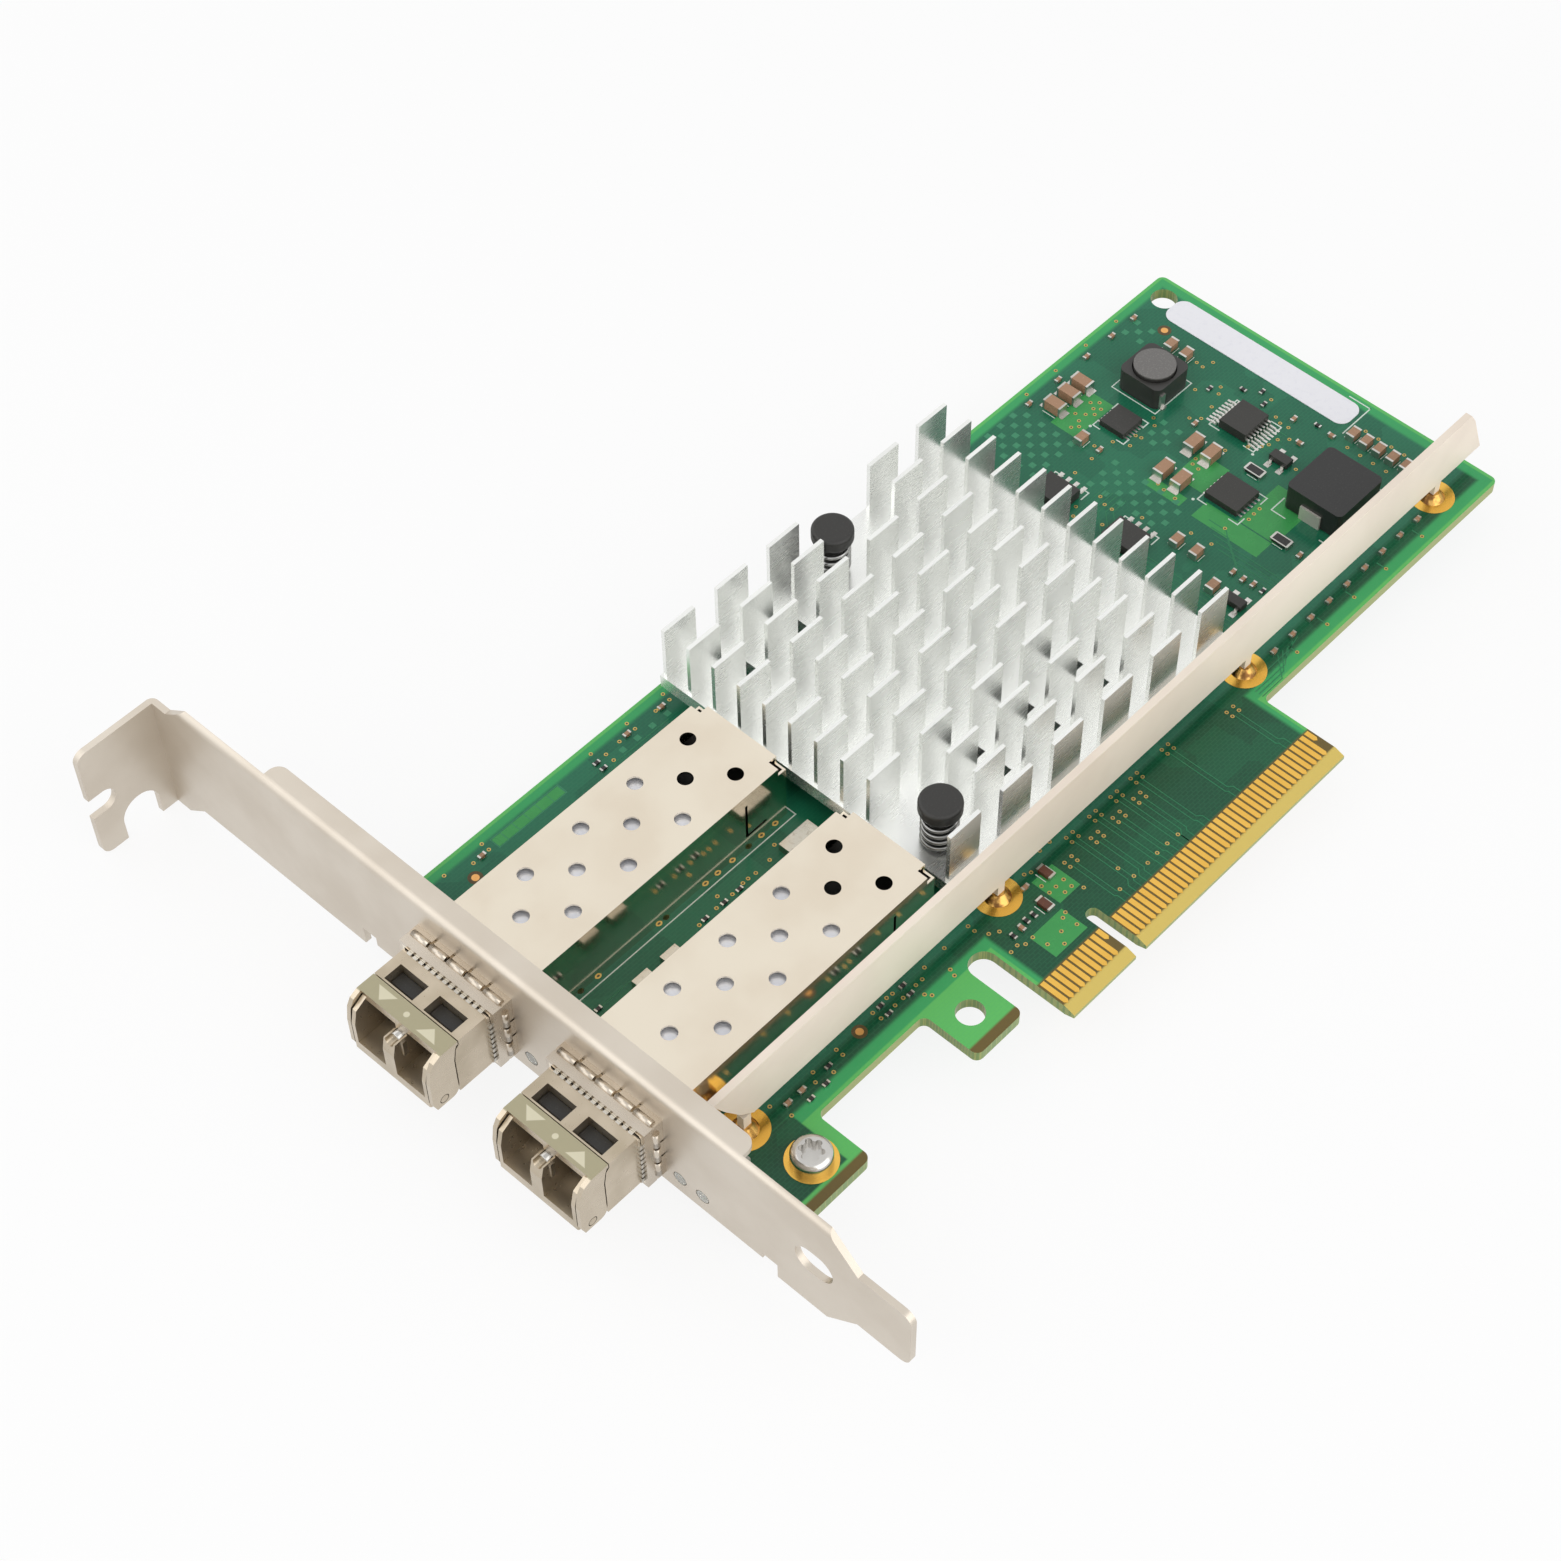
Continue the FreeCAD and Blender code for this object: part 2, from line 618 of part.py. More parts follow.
# ------------------------------------------------------------------ bracket and its screw
def make_bracket():
    body = doc.addObject("PartDesign::Body", "Bracket")
    high = "(bracket_low + bracket_wide)"
    tip_low = "(light_z + 9.6 - tip_wide)"
    tip_high = "(light_z + 9.6)"
    fold = "(-board_thick - bracket_thick)"
    under_tab = "(tab_top - bracket_thick)"
    back = "(bracket_face + bracket_thick)"
    corners = [
        ("tip_end", tip_low), ("tip_shoulder", tip_low), ("body_shoulder", "bracket_low"),
        ("board_flange_start - relief_wide", "bracket_low"),
        ("board_flange_start - relief_wide", "-1.5"), ("board_flange_start", "-1.5"),
        ("board_flange_start", fold), ("board_flange_end", fold), ("board_flange_end", "-1"),
        ("board_flange_end + relief_wide", "-1"), ("board_flange_end + relief_wide", "bracket_low"),
        ("neck_start", "bracket_low"), ("neck_end", "tab_low"), ("tab_top", "tab_low"),
        ("tab_top", "tab_high"), ("neck_end", "tab_high"), ("neck_start", high),
        ("body_shoulder", high), ("tip_shoulder", tip_high), ("tip_end", tip_high),
    ]
    pad(body, "YZ", "bracket_face", corners, "bracket_thick", "FacePlate")
    slot_low = "(screw_slot_middle - screw_slot_wide / 2)"
    slot_high = "(screw_slot_middle + screw_slot_wide / 2)"
    tab = [
        (back, "tab_low"), (back, "tab_high"), ("bracket_face - tab_reach", "tab_high"),
        ("bracket_face - tab_reach", slot_high), ("bracket_face - tab_reach + screw_slot_deep", slot_high),
        ("bracket_face - tab_reach + screw_slot_deep", slot_low), ("bracket_face - tab_reach", slot_low),
        ("bracket_face - tab_reach", "tab_low"), ("tab_notch_x - tab_notch_radius", "tab_low"),
        ("tab_notch_x - tab_notch_radius", "tab_notch_z"), ("tab_notch_x + tab_notch_radius", "tab_notch_z"),
        ("tab_notch_x + tab_notch_radius", "tab_low"),
    ]
    pad(body, "XZ", "-tab_top", tab, "bracket_thick", "TopTab")
    pad(body, "XY", f"{high} - bracket_thick", [
        ("bracket_face", "stiff_flange_start"), ("bracket_face + stiff_flange_wide", "stiff_flange_start"),
        ("bracket_face + stiff_flange_wide", "stiff_flange_end"), ("bracket_face", "stiff_flange_end")],
        "bracket_thick", "StiffFlange")
    pad(body, "XY", fold, [
        ("bracket_face", "board_flange_start"), ("foot_tab_reach", "board_flange_start"),
        ("foot_tab_reach", "foot_tab_end"), ("bracket_face + board_flange_wide", "foot_tab_end"),
        ("bracket_face + board_flange_wide", "board_flange_end"), ("bracket_face", "board_flange_end")],
        "bracket_thick", "BoardFlange")
    pocket(body, "XZ", "-tab_top + 2 * bracket_thick", "3 * bracket_thick", "TabNotch",
           places=[("tab_notch_x", "tab_notch_z", "tab_notch_radius")])
    for port in PORTS:
        half = "(cage_half + 0.1)"
        pocket(body, "YZ", f"{back} + 1", "bracket_thick + 2", "PortWindow", corners=[
            (f"{port} - {half}", "-0.1"), (f"{port} + {half}", "-0.1"),
            (f"{port} + {half}", "cage_tall + 0.1"), (f"{port} - {half}", "cage_tall + 0.1")])
    lights = [(f"{port} - {away}", "light_z", "light_radius + 0.1")
              for port in PORTS for away in ("light_near", "light_far")]
    pocket(body, "YZ", f"{back} + 1", "bracket_thick + 2", "LightHoles", places=lights)
    half_long = "(bracket_hole_long - bracket_hole_wide) / 2"
    for side in "+-":
        pocket(body, "YZ", f"{back} + 1", "bracket_thick + 2", "LongHoleEnd", places=[
            (f"bracket_hole_y {side} {half_long}", "bracket_hole_z", "bracket_hole_wide / 2")])
    pocket(body, "YZ", f"{back} + 1", "bracket_thick + 2", "LongHoleMiddle", corners=[
        (f"bracket_hole_y + {y} * {half_long}", f"bracket_hole_z + {z} * bracket_hole_wide / 2")
        for y, z in ((-1, -1), (1, -1), (1, 1), (-1, 1))])
    pocket(body, "XY", "0", "board_thick + 3", "ScrewHole",
           places=[("screw_x", "screw_y", "screw_radius + 0.05")])
    # the outer faces of the bends
    body_fillet(body, "bend_round", "TabBend", "z", places=[(back, "tab_top")])
    body_fillet(body, "screw_slot_wide * 0.48", "SlotEnd", "y", places=[
        ("bracket_face - tab_reach + screw_slot_deep", slot_low),
        ("bracket_face - tab_reach + screw_slot_deep", slot_high)])
    body_fillet(body, "1.5", "TabCorners", "y", places=[
        ("bracket_face - tab_reach", "tab_low"), ("bracket_face - tab_reach", "tab_high")])
    body_fillet(body, "bend_round", "StiffBend", "y", lies=lambda at: abs(
        at.x - value("bracket_face")) < 0.01 and abs(at.z - value(high)) < 0.01 and 0 < at.y < value("neck_start"))
    body_fillet(body, "1.5", "FlangeCorners", "z", places=[
        ("bracket_face + stiff_flange_wide", "stiff_flange_start"),
        ("bracket_face + stiff_flange_wide", "stiff_flange_end")])
    body_fillet(body, "1.5", "TipCorners", "x", places=[("tip_end", tip_low), ("tip_end", tip_high)])
    keep("bracket", body)


def make_bracket_screw():
    """Pan-head machine screw: down through the board into the bracket's foot tab."""
    middle = ("screw_x", "screw_y")
    head = rod("z", middle, "screw_head_radius", ("plating", "plating + screw_head_tall"))
    rim = soft_rims(head, "screw_head_tall * 0.43", ["plating + screw_head_tall"], "ScrewDome")
    shank = rod("z", middle, "screw_radius", ("-screw_tip", "plating + 0.5"))
    recess = [rod("z", middle, "screw_recess", ("plating + screw_head_tall - 1", "plating + screw_head_tall + 1"))]
    lobes = [rod("z", (f"screw_x + screw_recess * cos({60 * step})", f"screw_y + screw_recess * sin({60 * step})"),
                 "screw_recess * 0.35", ("plating + screw_head_tall - 1", "plating + screw_head_tall + 1"))
             for step in range(6)]
    keep("bracket_screw", cut(fuse([rim, shank]), [fuse(recess + lobes)], "BracketScrew"))


# ------------------------------------------------------------------ port cages
def across(port, low, high):
    """Limits along Y measured from a port's middle."""
    return f"{port} + ({low})", f"{port} + ({high})"


def make_cage(number, port):
    """Sheet-steel cage over one module, with vent holes on top and legs through the board."""
    shell = block(("cage_front", "cage_rear"), across(port, "-cage_half", "cage_half"), ("0", "cage_tall"))
    inside = block(("cage_front - 1", "cage_rear - cage_sheet"),
                   across(port, "-cage_half + cage_sheet", "cage_half - cage_sheet"),
                   ("cage_sheet", "cage_tall - cage_sheet"))
    floor = block(("cage_mouth", "cage_rear + 1"), across(port, "-socket_half - 0.1", "socket_half + 0.1"),
                  ("-1", "socket_tall + 0.2"))
    vents = []
    for row, shift, count in (("0", 0, 4), ("-vent_row", 0.5, 4), ("vent_row", 0.5, 4)):
        for step in range(count):
            vents.append(rod("z", (f"vent_first + ({step} + {shift}) * vent_pitch", f"{port} + {row}"),
                             "vent_radius", ("cage_tall - 2 * cage_sheet", "cage_tall + 1")))
    corner = [block(("cage_rear - 1.3", "cage_rear + 1"), across(port, f"{side} * (cage_half - 0.7) - 0.8",
                                                                  f"{side} * (cage_half - 0.7) + 0.8"),
                    ("cage_tall - 1.2", "cage_tall + 1")) for side in (-1, 1)]
    latch = block(("cage_rear - 7", "cage_rear - 6.6"), across(port, "-cage_half - 1", "cage_half + 1"), ("2", "8"))
    catch = block(("cage_rear - 7", "cage_rear - 3.5"), across(port, "-cage_half - 1", "cage_half + 1"), ("2", "2.4"))
    holed = cut(shell, [inside, floor, group(vents), group(corner), fuse([latch, catch])], "CageShell")
    legs = []
    for side in (-1, 1):
        for step in range(3):
            x = f"leg_first + {step} * leg_pitch"
            legs.append(block((f"{x} - leg_long / 2", f"{x} + leg_long / 2"),
                              across(port, f"{side} * (cage_half - cage_sheet / 2) - cage_sheet / 2",
                                     f"{side} * (cage_half - cage_sheet / 2) + cage_sheet / 2"),
                              ("-leg_deep", "0.5")))
    keep(f"cage_{number}", fuse([holed] + legs, "Cage"))


def make_collar(number, port):
    """Spring-finger ring around the cage's front, pressing on the bracket."""
    outer = block(("cage_front", "bracket_face"),
                  across(port, "-cage_half - collar_sheet", "cage_half + collar_sheet"),
                  ("-collar_sheet", "cage_tall + collar_sheet"))
    hole = block(("cage_front - 1", "bracket_face + 1"), across(port, "-cage_half", "cage_half"),
                 ("0", "cage_tall"))
    span = ("cage_front + collar_band", "bracket_face + 1")
    slits = []
    for step in (-1.5, -0.5, 0.5, 1.5):
        slits.append(block(span, across(port, f"{step} * collar_finger - collar_slit / 2",
                                        f"{step} * collar_finger + collar_slit / 2"),
                           ("-1 - collar_sheet", "cage_tall + collar_sheet + 1")))
    for step in (-0.5, 0.5):
        middle = f"cage_tall / 2 + {step} * collar_finger"
        slits.append(block(span, across(port, "-cage_half - collar_sheet - 1", "cage_half + collar_sheet + 1"),
                           (f"{middle} - collar_slit / 2", f"{middle} + collar_slit / 2")))
    creases = []
    for side, low in (("top", "cage_tall + collar_sheet - 0.12"), ("under", "-collar_sheet - 1")):
        creases.append(block(("cage_front + collar_band", "cage_front + collar_band + 0.2"),
                             across(port, "-cage_half - 1", "cage_half + 1"),
                             (low, f"{low} + 1.12")))
    ring = cut(outer, [hole, group(slits), group(creases)], "Collar")
    keep(f"cage_collar_{number}", ring)


def make_socket(number, port):
    """Board connector at the back of a cage, with the slot that takes the module's board."""
    base = block(("socket_front", "cage_rear - 0.6"), across(port, "-socket_half", "socket_half"),
                 ("0", "socket_tall"))
    middle = "(optics_z - 0.6)"
    slot = block(("socket_front - 1", "module_board_end + 0.5"),
                 across(port, "-module_board_half - 0.15", "module_board_half + 0.15"),
                 (f"{middle} - module_board_thick / 2 - 0.1", f"{middle} + module_board_thick / 2 + 0.1"))
    keep(f"cage_connector_{number}", cut(base, [slot], "Socket"))


# ------------------------------------------------------------------ optical modules
def make_module_body(number, port):
    """Die-cast module: a head with two connector bays and a barrel that fills the cage."""
    half = "module_half - bail_sheet - bail_gap"
    core = prism("XZ", [
        ("head_rear", "module_low"), ("head_rear", "module_high"),
        ("bail_plate_rear + bail_gap", "module_high"),
        ("bail_plate_rear + bail_gap", "module_high - bail_sheet - bail_gap"),
        ("bail_plate_front + 0.1", "module_high - bail_sheet - bail_gap"),
        ("head_front + 0.5", "module_high - 1.8"), ("head_front", "module_high - 4"),
        ("head_front", "module_low + 0.3"), ("head_front + 0.3", "module_low")],
        across(port, f"-({half})", half), "ModuleCore")
    shoulder = prism("XZ", [
        ("head_rear", "module_low"), ("head_step", "module_low"), ("head_step", "module_high - 3.1"),
        ("head_step + 0.2 + bail_gap", "module_high - 1.25"),
        ("bail_plate_rear + bail_gap", "module_high - bail_sheet - bail_gap"),
        ("bail_plate_rear + bail_gap", "module_high"), ("head_rear", "module_high")],
        across(port, "-module_half", "module_half"), "ModuleShoulder")
    barrel = block(("head_rear", "barrel_end"), across(port, "-barrel_half", "barrel_half"),
                   ("barrel_low", "barrel_high"))
    tools = []
    for side in (-1, 1):
        bay = sorted((f"{side} * post_half", f"{side} * bay_far"), key=value)
        tools.append(block(("head_front - 1", "bay_back"), across(port, *bay), ("bay_low", "bay_high")))
        tools.append(block(("head_front - 1", "bail_plate_front + 0.1"), across(port, *bay),
                           ("bay_high - 1", "module_high + 1")))
        tools.append(block(("window_front", "window_rear"), across(port, *bay),
                           ("bay_high - 1", "module_high + 1")))
        tools.append(rod("x", (f"{port} + {side} * optics_y", "optics_z"), "sleeve_radius + 0.05",
                         ("bay_back - 1", "head_rear + 2")))
    tools.append(block(("head_rear + 0.9", "barrel_end + 1"),
                       across(port, "-barrel_half + barrel_wall", "barrel_half - barrel_wall"),
                       ("barrel_low + barrel_wall", "barrel_high + 1")))
    tools.append(block(("head_front - 1", "bail_plate_front + 0.1"),
                       across(port, "-post_half", "post_half"), ("bay_high - 0.6", "module_high + 1")))
    tools.append(rod("x", (port, "bay_high - 0.6"), "post_half * 0.75",
                     ("head_front - 1", "bail_plate_front + 0.1")))
    pins = [rod("y", ("pivot_x", "pivot_z"), "pivot_radius", across(port, *ends)) for ends in (
        ("-module_half", "-bay_far"), ("bay_far", "module_half"))]
    keep(f"module_body_{number}", fuse([cut(fuse([core, shoulder, barrel]), tools, "ModuleShell")] + pins,
                                       "ModuleBody"))


def make_module_insides(number, port):
    """What the module holds: cover, contact ring, two optical barrels and their board."""
    keep(f"module_cover_{number}", block(
        ("head_rear + 0.9", "barrel_end"),
        across(port, "-barrel_half + barrel_wall", "barrel_half - barrel_wall"),
        ("barrel_high - barrel_wall", "barrel_high"), "ModuleCover"))
    ring = block(("head_rear", "cage_front - 0.05"),
                 across(port, "-barrel_half - ring_wall", "barrel_half + ring_wall"),
                 ("barrel_low - ring_wall", "barrel_high + ring_wall"))
    hole = block(("head_rear - 1", "cage_front + 1"), across(port, "-barrel_half", "barrel_half"),
                 ("barrel_low", "barrel_high"))
    keep(f"module_spring_ring_{number}", cut(ring, [hole], "SpringRing"))
    barrels = []
    for side in (-1, 1):
        middle = (f"{port} + {side} * optics_y", "optics_z")
        nose = rod("x", middle, "sleeve_radius", ("bay_back - 3.4", "head_rear + 0.9"))
        can = rod("x", middle, "optics_radius", ("head_rear + 0.9", "optics_end"))
        bore = rod("x", middle, "sleeve_radius * 0.8", ("bay_back - 5", "bay_back"))
        barrels.append(cut(fuse([nose, can]), [bore], "OpticsBarrel"))
    keep(f"module_optics_{number}", group(barrels))
    level = "(optics_z - 0.6)"
    keep(f"module_board_{number}", block(
        ("optics_end", "module_board_end"), across(port, "-module_board_half", "module_board_half"),
        (f"{level} - module_board_thick / 2", f"{level} + module_board_thick / 2"), "ModuleBoard"))


def make_bail(number, port):
    """Bail latch: a painted plate over the head on two side arms that turn about the pins."""
    arms = []
    for side in (-1, 1):
        faces = sorted((f"{side} * (module_half - bail_sheet)", f"{side} * module_half"), key=value)
        arm = prism("XZ", [
            ("bail_plate_rear", "module_high"), ("bail_plate_front", "module_high"),
            ("bail_plate_front - 1.2", "module_high - 0.6"), ("head_front + 0.35", "module_high - 1.7"),
            ("head_front", "module_high - 4"), ("head_front", "module_low + 1.2"),
            ("head_front + 0.5", "module_low - 0.1"), ("head_step - 0.15", "module_low - 0.1"),
            ("head_step - 0.15", "module_high - 3"), ("head_step + 0.2", "module_high - 1.2")],
            across(port, *faces), "BailArm")
        arms.append(rounded(arm, "1", "y", places=[("head_step - 0.15", "module_low - 0.1")], name="BailHeel"))
    plate = block(("bail_plate_front", "bail_plate_rear"), across(port, "-module_half", "module_half"),
                  ("module_high - bail_sheet", "module_high"))
    eyes = rod("y", ("pivot_x", "pivot_z"), "pivot_radius + 0.1",
               across(port, "-module_half - 1", "module_half + 1"))
    keep(f"module_bail_{number}", cut(fuse(arms + [plate]), [eyes], "Bail"))


# ------------------------------------------------------------------ heat sink, chip, push pins
FIN_COLUMNS = 6
FIN_ROWS = 12
MISSING_FINS = {(0, 9), (0, 10), (3, 0), (3, 1)}
SINK_VENTS = [(0, 1), (1, 1), (1, 8), (2, 8), (3, 8), (1, 9), (2, 9), (3, 9)]


def make_heatsink():
    """Extruded plate crossed by slots, so that short upright fins stand in a grid."""
    top = "(sink_bottom + sink_plate)"
    plate = block(("sink_left", "sink_right"), ("sink_low", "sink_high"), ("sink_bottom", top), "SinkPlate")
    holes = [rod("z", pin, "pin_shaft + 0.25", ("sink_bottom - 1", f"{top} + 1")) for pin in PINS]
    for column, row in SINK_VENTS:
        x = f"(fin_first_x + {column} * fin_pitch_x + (fin_pitch_x + fin_long) / 2)"
        y = f"(fin_first_y - ({row} + 0.5) * fin_pitch_y + fin_thick / 2)"
        holes.append(block((f"{x} - vent_square / 2", f"{x} + vent_square / 2"),
                           (f"{y} - vent_square / 2", f"{y} + vent_square / 2"),
                           ("sink_bottom - 1", f"{top} + 1")))
    base = cut(plate, [group(holes)], "SinkBase")
    fins = []
    for column in range(FIN_COLUMNS):
        for row in range(FIN_ROWS):
            if (column, row) in MISSING_FINS:
                continue
            x = f"(fin_first_x + {column} * fin_pitch_x)"
            y = f"(fin_first_y - {row} * fin_pitch_y)"
            fins.append(block((x, f"{x} + fin_long"), (y, f"{y} + fin_thick"),
                              (f"{top} - 0.1", f"{top} + fin_tall"), "Fin"))
    keep("heatsink", fuse([base] + fins, "HeatSink"))


def make_controller():
    def square(side, z, name):
        return block((f"chip_middle_x - {side} / 2", f"chip_middle_x + {side} / 2"),
                     (f"chip_middle_y - {side} / 2", f"chip_middle_y + {side} / 2"), z, name)
    keep("controller_chip", fuse([square("chip_wide", ("0", "chip_base"), "ChipBase"),
                                  square("chip_lid", ("chip_base - 0.1", "chip_tall"), "ChipLid")]))
    keep("thermal_pad", square("(chip_lid - 1)", ("chip_tall", "sink_bottom"), "ThermalPad"))


def make_push_pin(number, pin):
    """Plastic pin: cap above its spring, shaft through sink and board, barb underneath."""
    cap = rod("z", pin, "pin_cap_radius", ("pin_top - pin_cap_tall", "pin_top"), "PinCap")
    soft = soft_rims(cap, "0.5", ["pin_top", "pin_top - pin_cap_tall"], "PinCapSoft")
    shaft = rod("z", pin, "pin_shaft", ("-board_thick - pin_gap", "pin_top - pin_cap_tall + 0.5"))
    barb = rod("z", pin, "pin_shaft * 0.5", ("-board_thick - pin_gap - pin_barb_tall", "-board_thick - pin_gap"),
               end_radius="pin_barb")
    slit = block((f"{pin[0]} - 3", f"{pin[0]} + 3"), (f"{pin[1]} - 0.2", f"{pin[1]} + 0.2"),
                 ("-board_thick - pin_gap - pin_barb_tall - 1", "-board_thick + 0.5"))
    keep(f"push_pin_{number}", cut(fuse([soft, shaft, barb]), [slit], "PushPin"))

    # Each half turn of the spring is half a ring, tilted so that it ends where the next one starts.
    low, high = value("sink_bottom + sink_plate + spring_wire"), value("pin_top - pin_cap_tall - spring_wire")
    halves = round(2 * value("spring_turns"))
    rise = (high - low) / halves
    reach = value("spring_radius")
    tilt = math.degrees(math.atan2(rise / 2, reach))
    turns = []
    for step in range(halves):
        turn = doc.addObject("Part::Torus", "SpringTurn")
        turn.Radius1 = math.hypot(reach, rise / 2)
        turn.Radius2 = value("spring_wire")
        turn.Angle3 = 180
        lean = FreeCAD.Rotation(FreeCAD.Vector(0, 1, 0), -tilt if step % 2 else tilt)
        side = FreeCAD.Rotation(FreeCAD.Vector(0, 0, 1), 180 * (step % 2))
        middle = FreeCAD.Vector(value(pin[0]), value(pin[1]), low + rise * (step + 0.5))
        turn.Placement = FreeCAD.Placement(middle, lean * side)
        turns.append(turn)
    keep(f"push_pin_spring_{number}", fuse(turns, "PinSpring"))


# ------------------------------------------------------------------ stiffener rail
def make_rail():
    """Steel strip standing on edge along the card, soldered in through four tabs."""
    y = ("rail_y - rail_thick / 2", "rail_y + rail_thick / 2")
    strip = prism("XZ", [
        ("rail_left + 6.2", "rail_low"), ("rail_right", "rail_low"), ("rail_right - 2.9", "rail_high - 1.6"),
        ("rail_right - 4", "rail_high"), ("rail_left", "rail_high"), ("rail_left + 1.7", "rail_low + 5.4"),
        ("rail_left + 4.1", "rail_low + 1.9")], y, "RailStrip")
    tabs = [block((f"{x} - rail_tab_long / 2", f"{x} + rail_tab_long / 2"), y,
                  ("-rail_tab_deep", "rail_low + 0.5"), "RailTab") for x in RAIL_TABS]
    keep("stiffener_rail", fuse([strip] + tabs, "Rail"))
    mounds = []
    for x in RAIL_TABS:
        mound = rod("z", (x, "rail_y"), "solder_radius", ("plating", "solder_tall"), end_radius="rail_tab_long * 0.75")
        hole = block((f"{x} - rail_tab_long / 2", f"{x} + rail_tab_long / 2"), y, ("-1", "solder_tall + 1"))
        mounds.append(cut(mound, [hole], "Solder"))
    keep("rail_solder", group(mounds))


# ------------------------------------------------------------------ parts soldered to the board
def make_inductors():
    x, y = "drum_x", "drum_y"
    block_high = "(drum_tall - drum_step)"
    case = rounded(block((f"{x} - drum_base / 2", f"{x} + drum_base / 2"),
                         (f"{y} - drum_base / 2", f"{y} + drum_base / 2"), ("0", block_high)),
                   "drum_base * 0.16", "z", lies=lambda at: True, name="DrumCase")
    well = rod("z", (x, y), "drum_radius + drum_gap", ("drum_flange", "drum_tall + 1"))
    base = cut(case, [well], "DrumShield")
    waist = rod("z", (x, y), "drum_radius * 0.6", ("drum_flange - 0.2", "drum_tall - 0.2"))
    cap = rod("z", (x, y), "drum_radius", ("drum_tall - drum_flange", "drum_tall"))
    keep("drum_inductor", fuse([base, waist, cap], "DrumCore"))
    coil = rod("z", (x, y), "drum_radius * 0.95", ("drum_flange", "drum_tall - drum_flange"))
    core = rod("z", (x, y), "drum_radius * 0.6", ("0", "drum_tall"))
    keep("drum_winding", cut(coil, [core], "DrumWinding"))

    x, y = "choke_x", "choke_y"
    case = block((f"{x} - choke_long / 2", f"{x} + choke_long / 2"),
                 (f"{y} - choke_wide / 2", f"{y} + choke_wide / 2"), ("stand_off", "choke_tall"))
    keep("power_inductor", rounded(case, "0.8", "z", lies=lambda at: True, name="PowerInductor"))
    clips = []
    for side in (-1, 1):
        ends = sorted((f"{x} + {side} * choke_long / 2", f"{x} + {side} * (choke_long / 2 + choke_clip)"), key=value)
        feet = sorted((f"{x} + {side} * (choke_long / 2 - 2)", f"{x} + {side} * (choke_long / 2 + choke_clip)"),
                      key=value)
        wide = (f"{y} - choke_clip_wide / 2", f"{y} + choke_clip_wide / 2")
        clips.append(fuse([block(ends, wide, ("0", "choke_tall * 0.55")), block(feet, wide, ("0", "stand_off"))]))
    keep("inductor_terminals", group(clips))


def make_chips():
    """Chip bodies standing on bent legs, and flat chips that lie on the board."""
    thick, clear = value("lead_thick"), value("stand_off")
    legs = []
    for node, chips in LEGGED_CHIPS.items():
        bodies = []
        for x, y, long, wide, tall, count, pitch, axis in chips:
            reach = value("lead_reach") if count > 2 else value("short_reach")
            bodies.append(box_between((x - long / 2, y - wide / 2, clear), (x + long / 2, y + wide / 2, tall)))
            half = long / 2 if axis == "x" else wide / 2
            for side in (-1, 1):
                for step in range(round(count)):
                    along = (step - (round(count) - 1) / 2) * pitch
                    width = min(0.42, pitch * 0.45)
                    run = [(half, tall / 2), (half + reach * 0.4, tall / 2), (half + reach * 0.4, thick),
                           (half + reach, thick), (half + reach, 0), (half + reach * 0.4 - thick, 0),
                           (half + reach * 0.4 - thick, tall / 2 - thick), (half, tall / 2 - thick)]
                    face = [(side * out, up) for out, up in run + run[:1]]
                    if axis == "x":
                        points = [FreeCAD.Vector(x + out, y + along - width / 2, up) for out, up in face]
                        push = FreeCAD.Vector(0, width, 0)
                    else:
                        points = [FreeCAD.Vector(x + along - width / 2, y + out, up) for out, up in face]
                        push = FreeCAD.Vector(width, 0, 0)
                    legs.append(Part.Face(Part.makePolygon(points)).extrude(push))
        field(node, bodies)
    field("chip_leads", legs)
    for node, chips in (("regulator_chips", FLAT_CHIPS), ("crystals", CRYSTALS)):
        field(node, [box_between((x - long / 2, y - wide / 2, 0), (x + long / 2, y + wide / 2, tall))
                     for x, y, long, wide, tall in chips])


def make_two_ended():
    """Capacitors and resistors: a body between two plated ends."""
    band = value("end_band")
    first, last = value("rail_tab_three + row_clear"), value("rail_tab_four - row_clear")
    pitch = (last - first) / 8
    beside_rail = [(first + pitch * step, value("rail_y - row_aside"), "x") for step in range(9)]
    ends = []
    for node, places in CHIP_PLACES.items():
        if node == "small_capacitors":
            places = beside_rail + places
        length, width, tall = CHIP_SIZES[node]
        tip = min(band, length * 0.22)
        bodies = []
        for x, y, axis in places:
            if axis == "x":
                along, side = FreeCAD.Vector(1, 0, 0), FreeCAD.Vector(0, 1, 0)
            else:
                along, side = FreeCAD.Vector(0, 1, 0), FreeCAD.Vector(1, 0, 0)
            middle = FreeCAD.Vector(x, y, 0)

            def piece(start, stop, half, top):
                one = middle + along * start - side * half
                two = middle + along * stop + side * half
                return box_between((one.x, one.y, 0), (two.x, two.y, top))

            bodies.append(piece(-length / 2 + tip, length / 2 - tip, width / 2 - 0.02, tall - 0.02))
            ends.append(piece(-length / 2, -length / 2 + tip, width / 2, tall))
            ends.append(piece(length / 2 - tip, length / 2, width / 2, tall))
        field(node, bodies)
    field("chip_ends", ends)


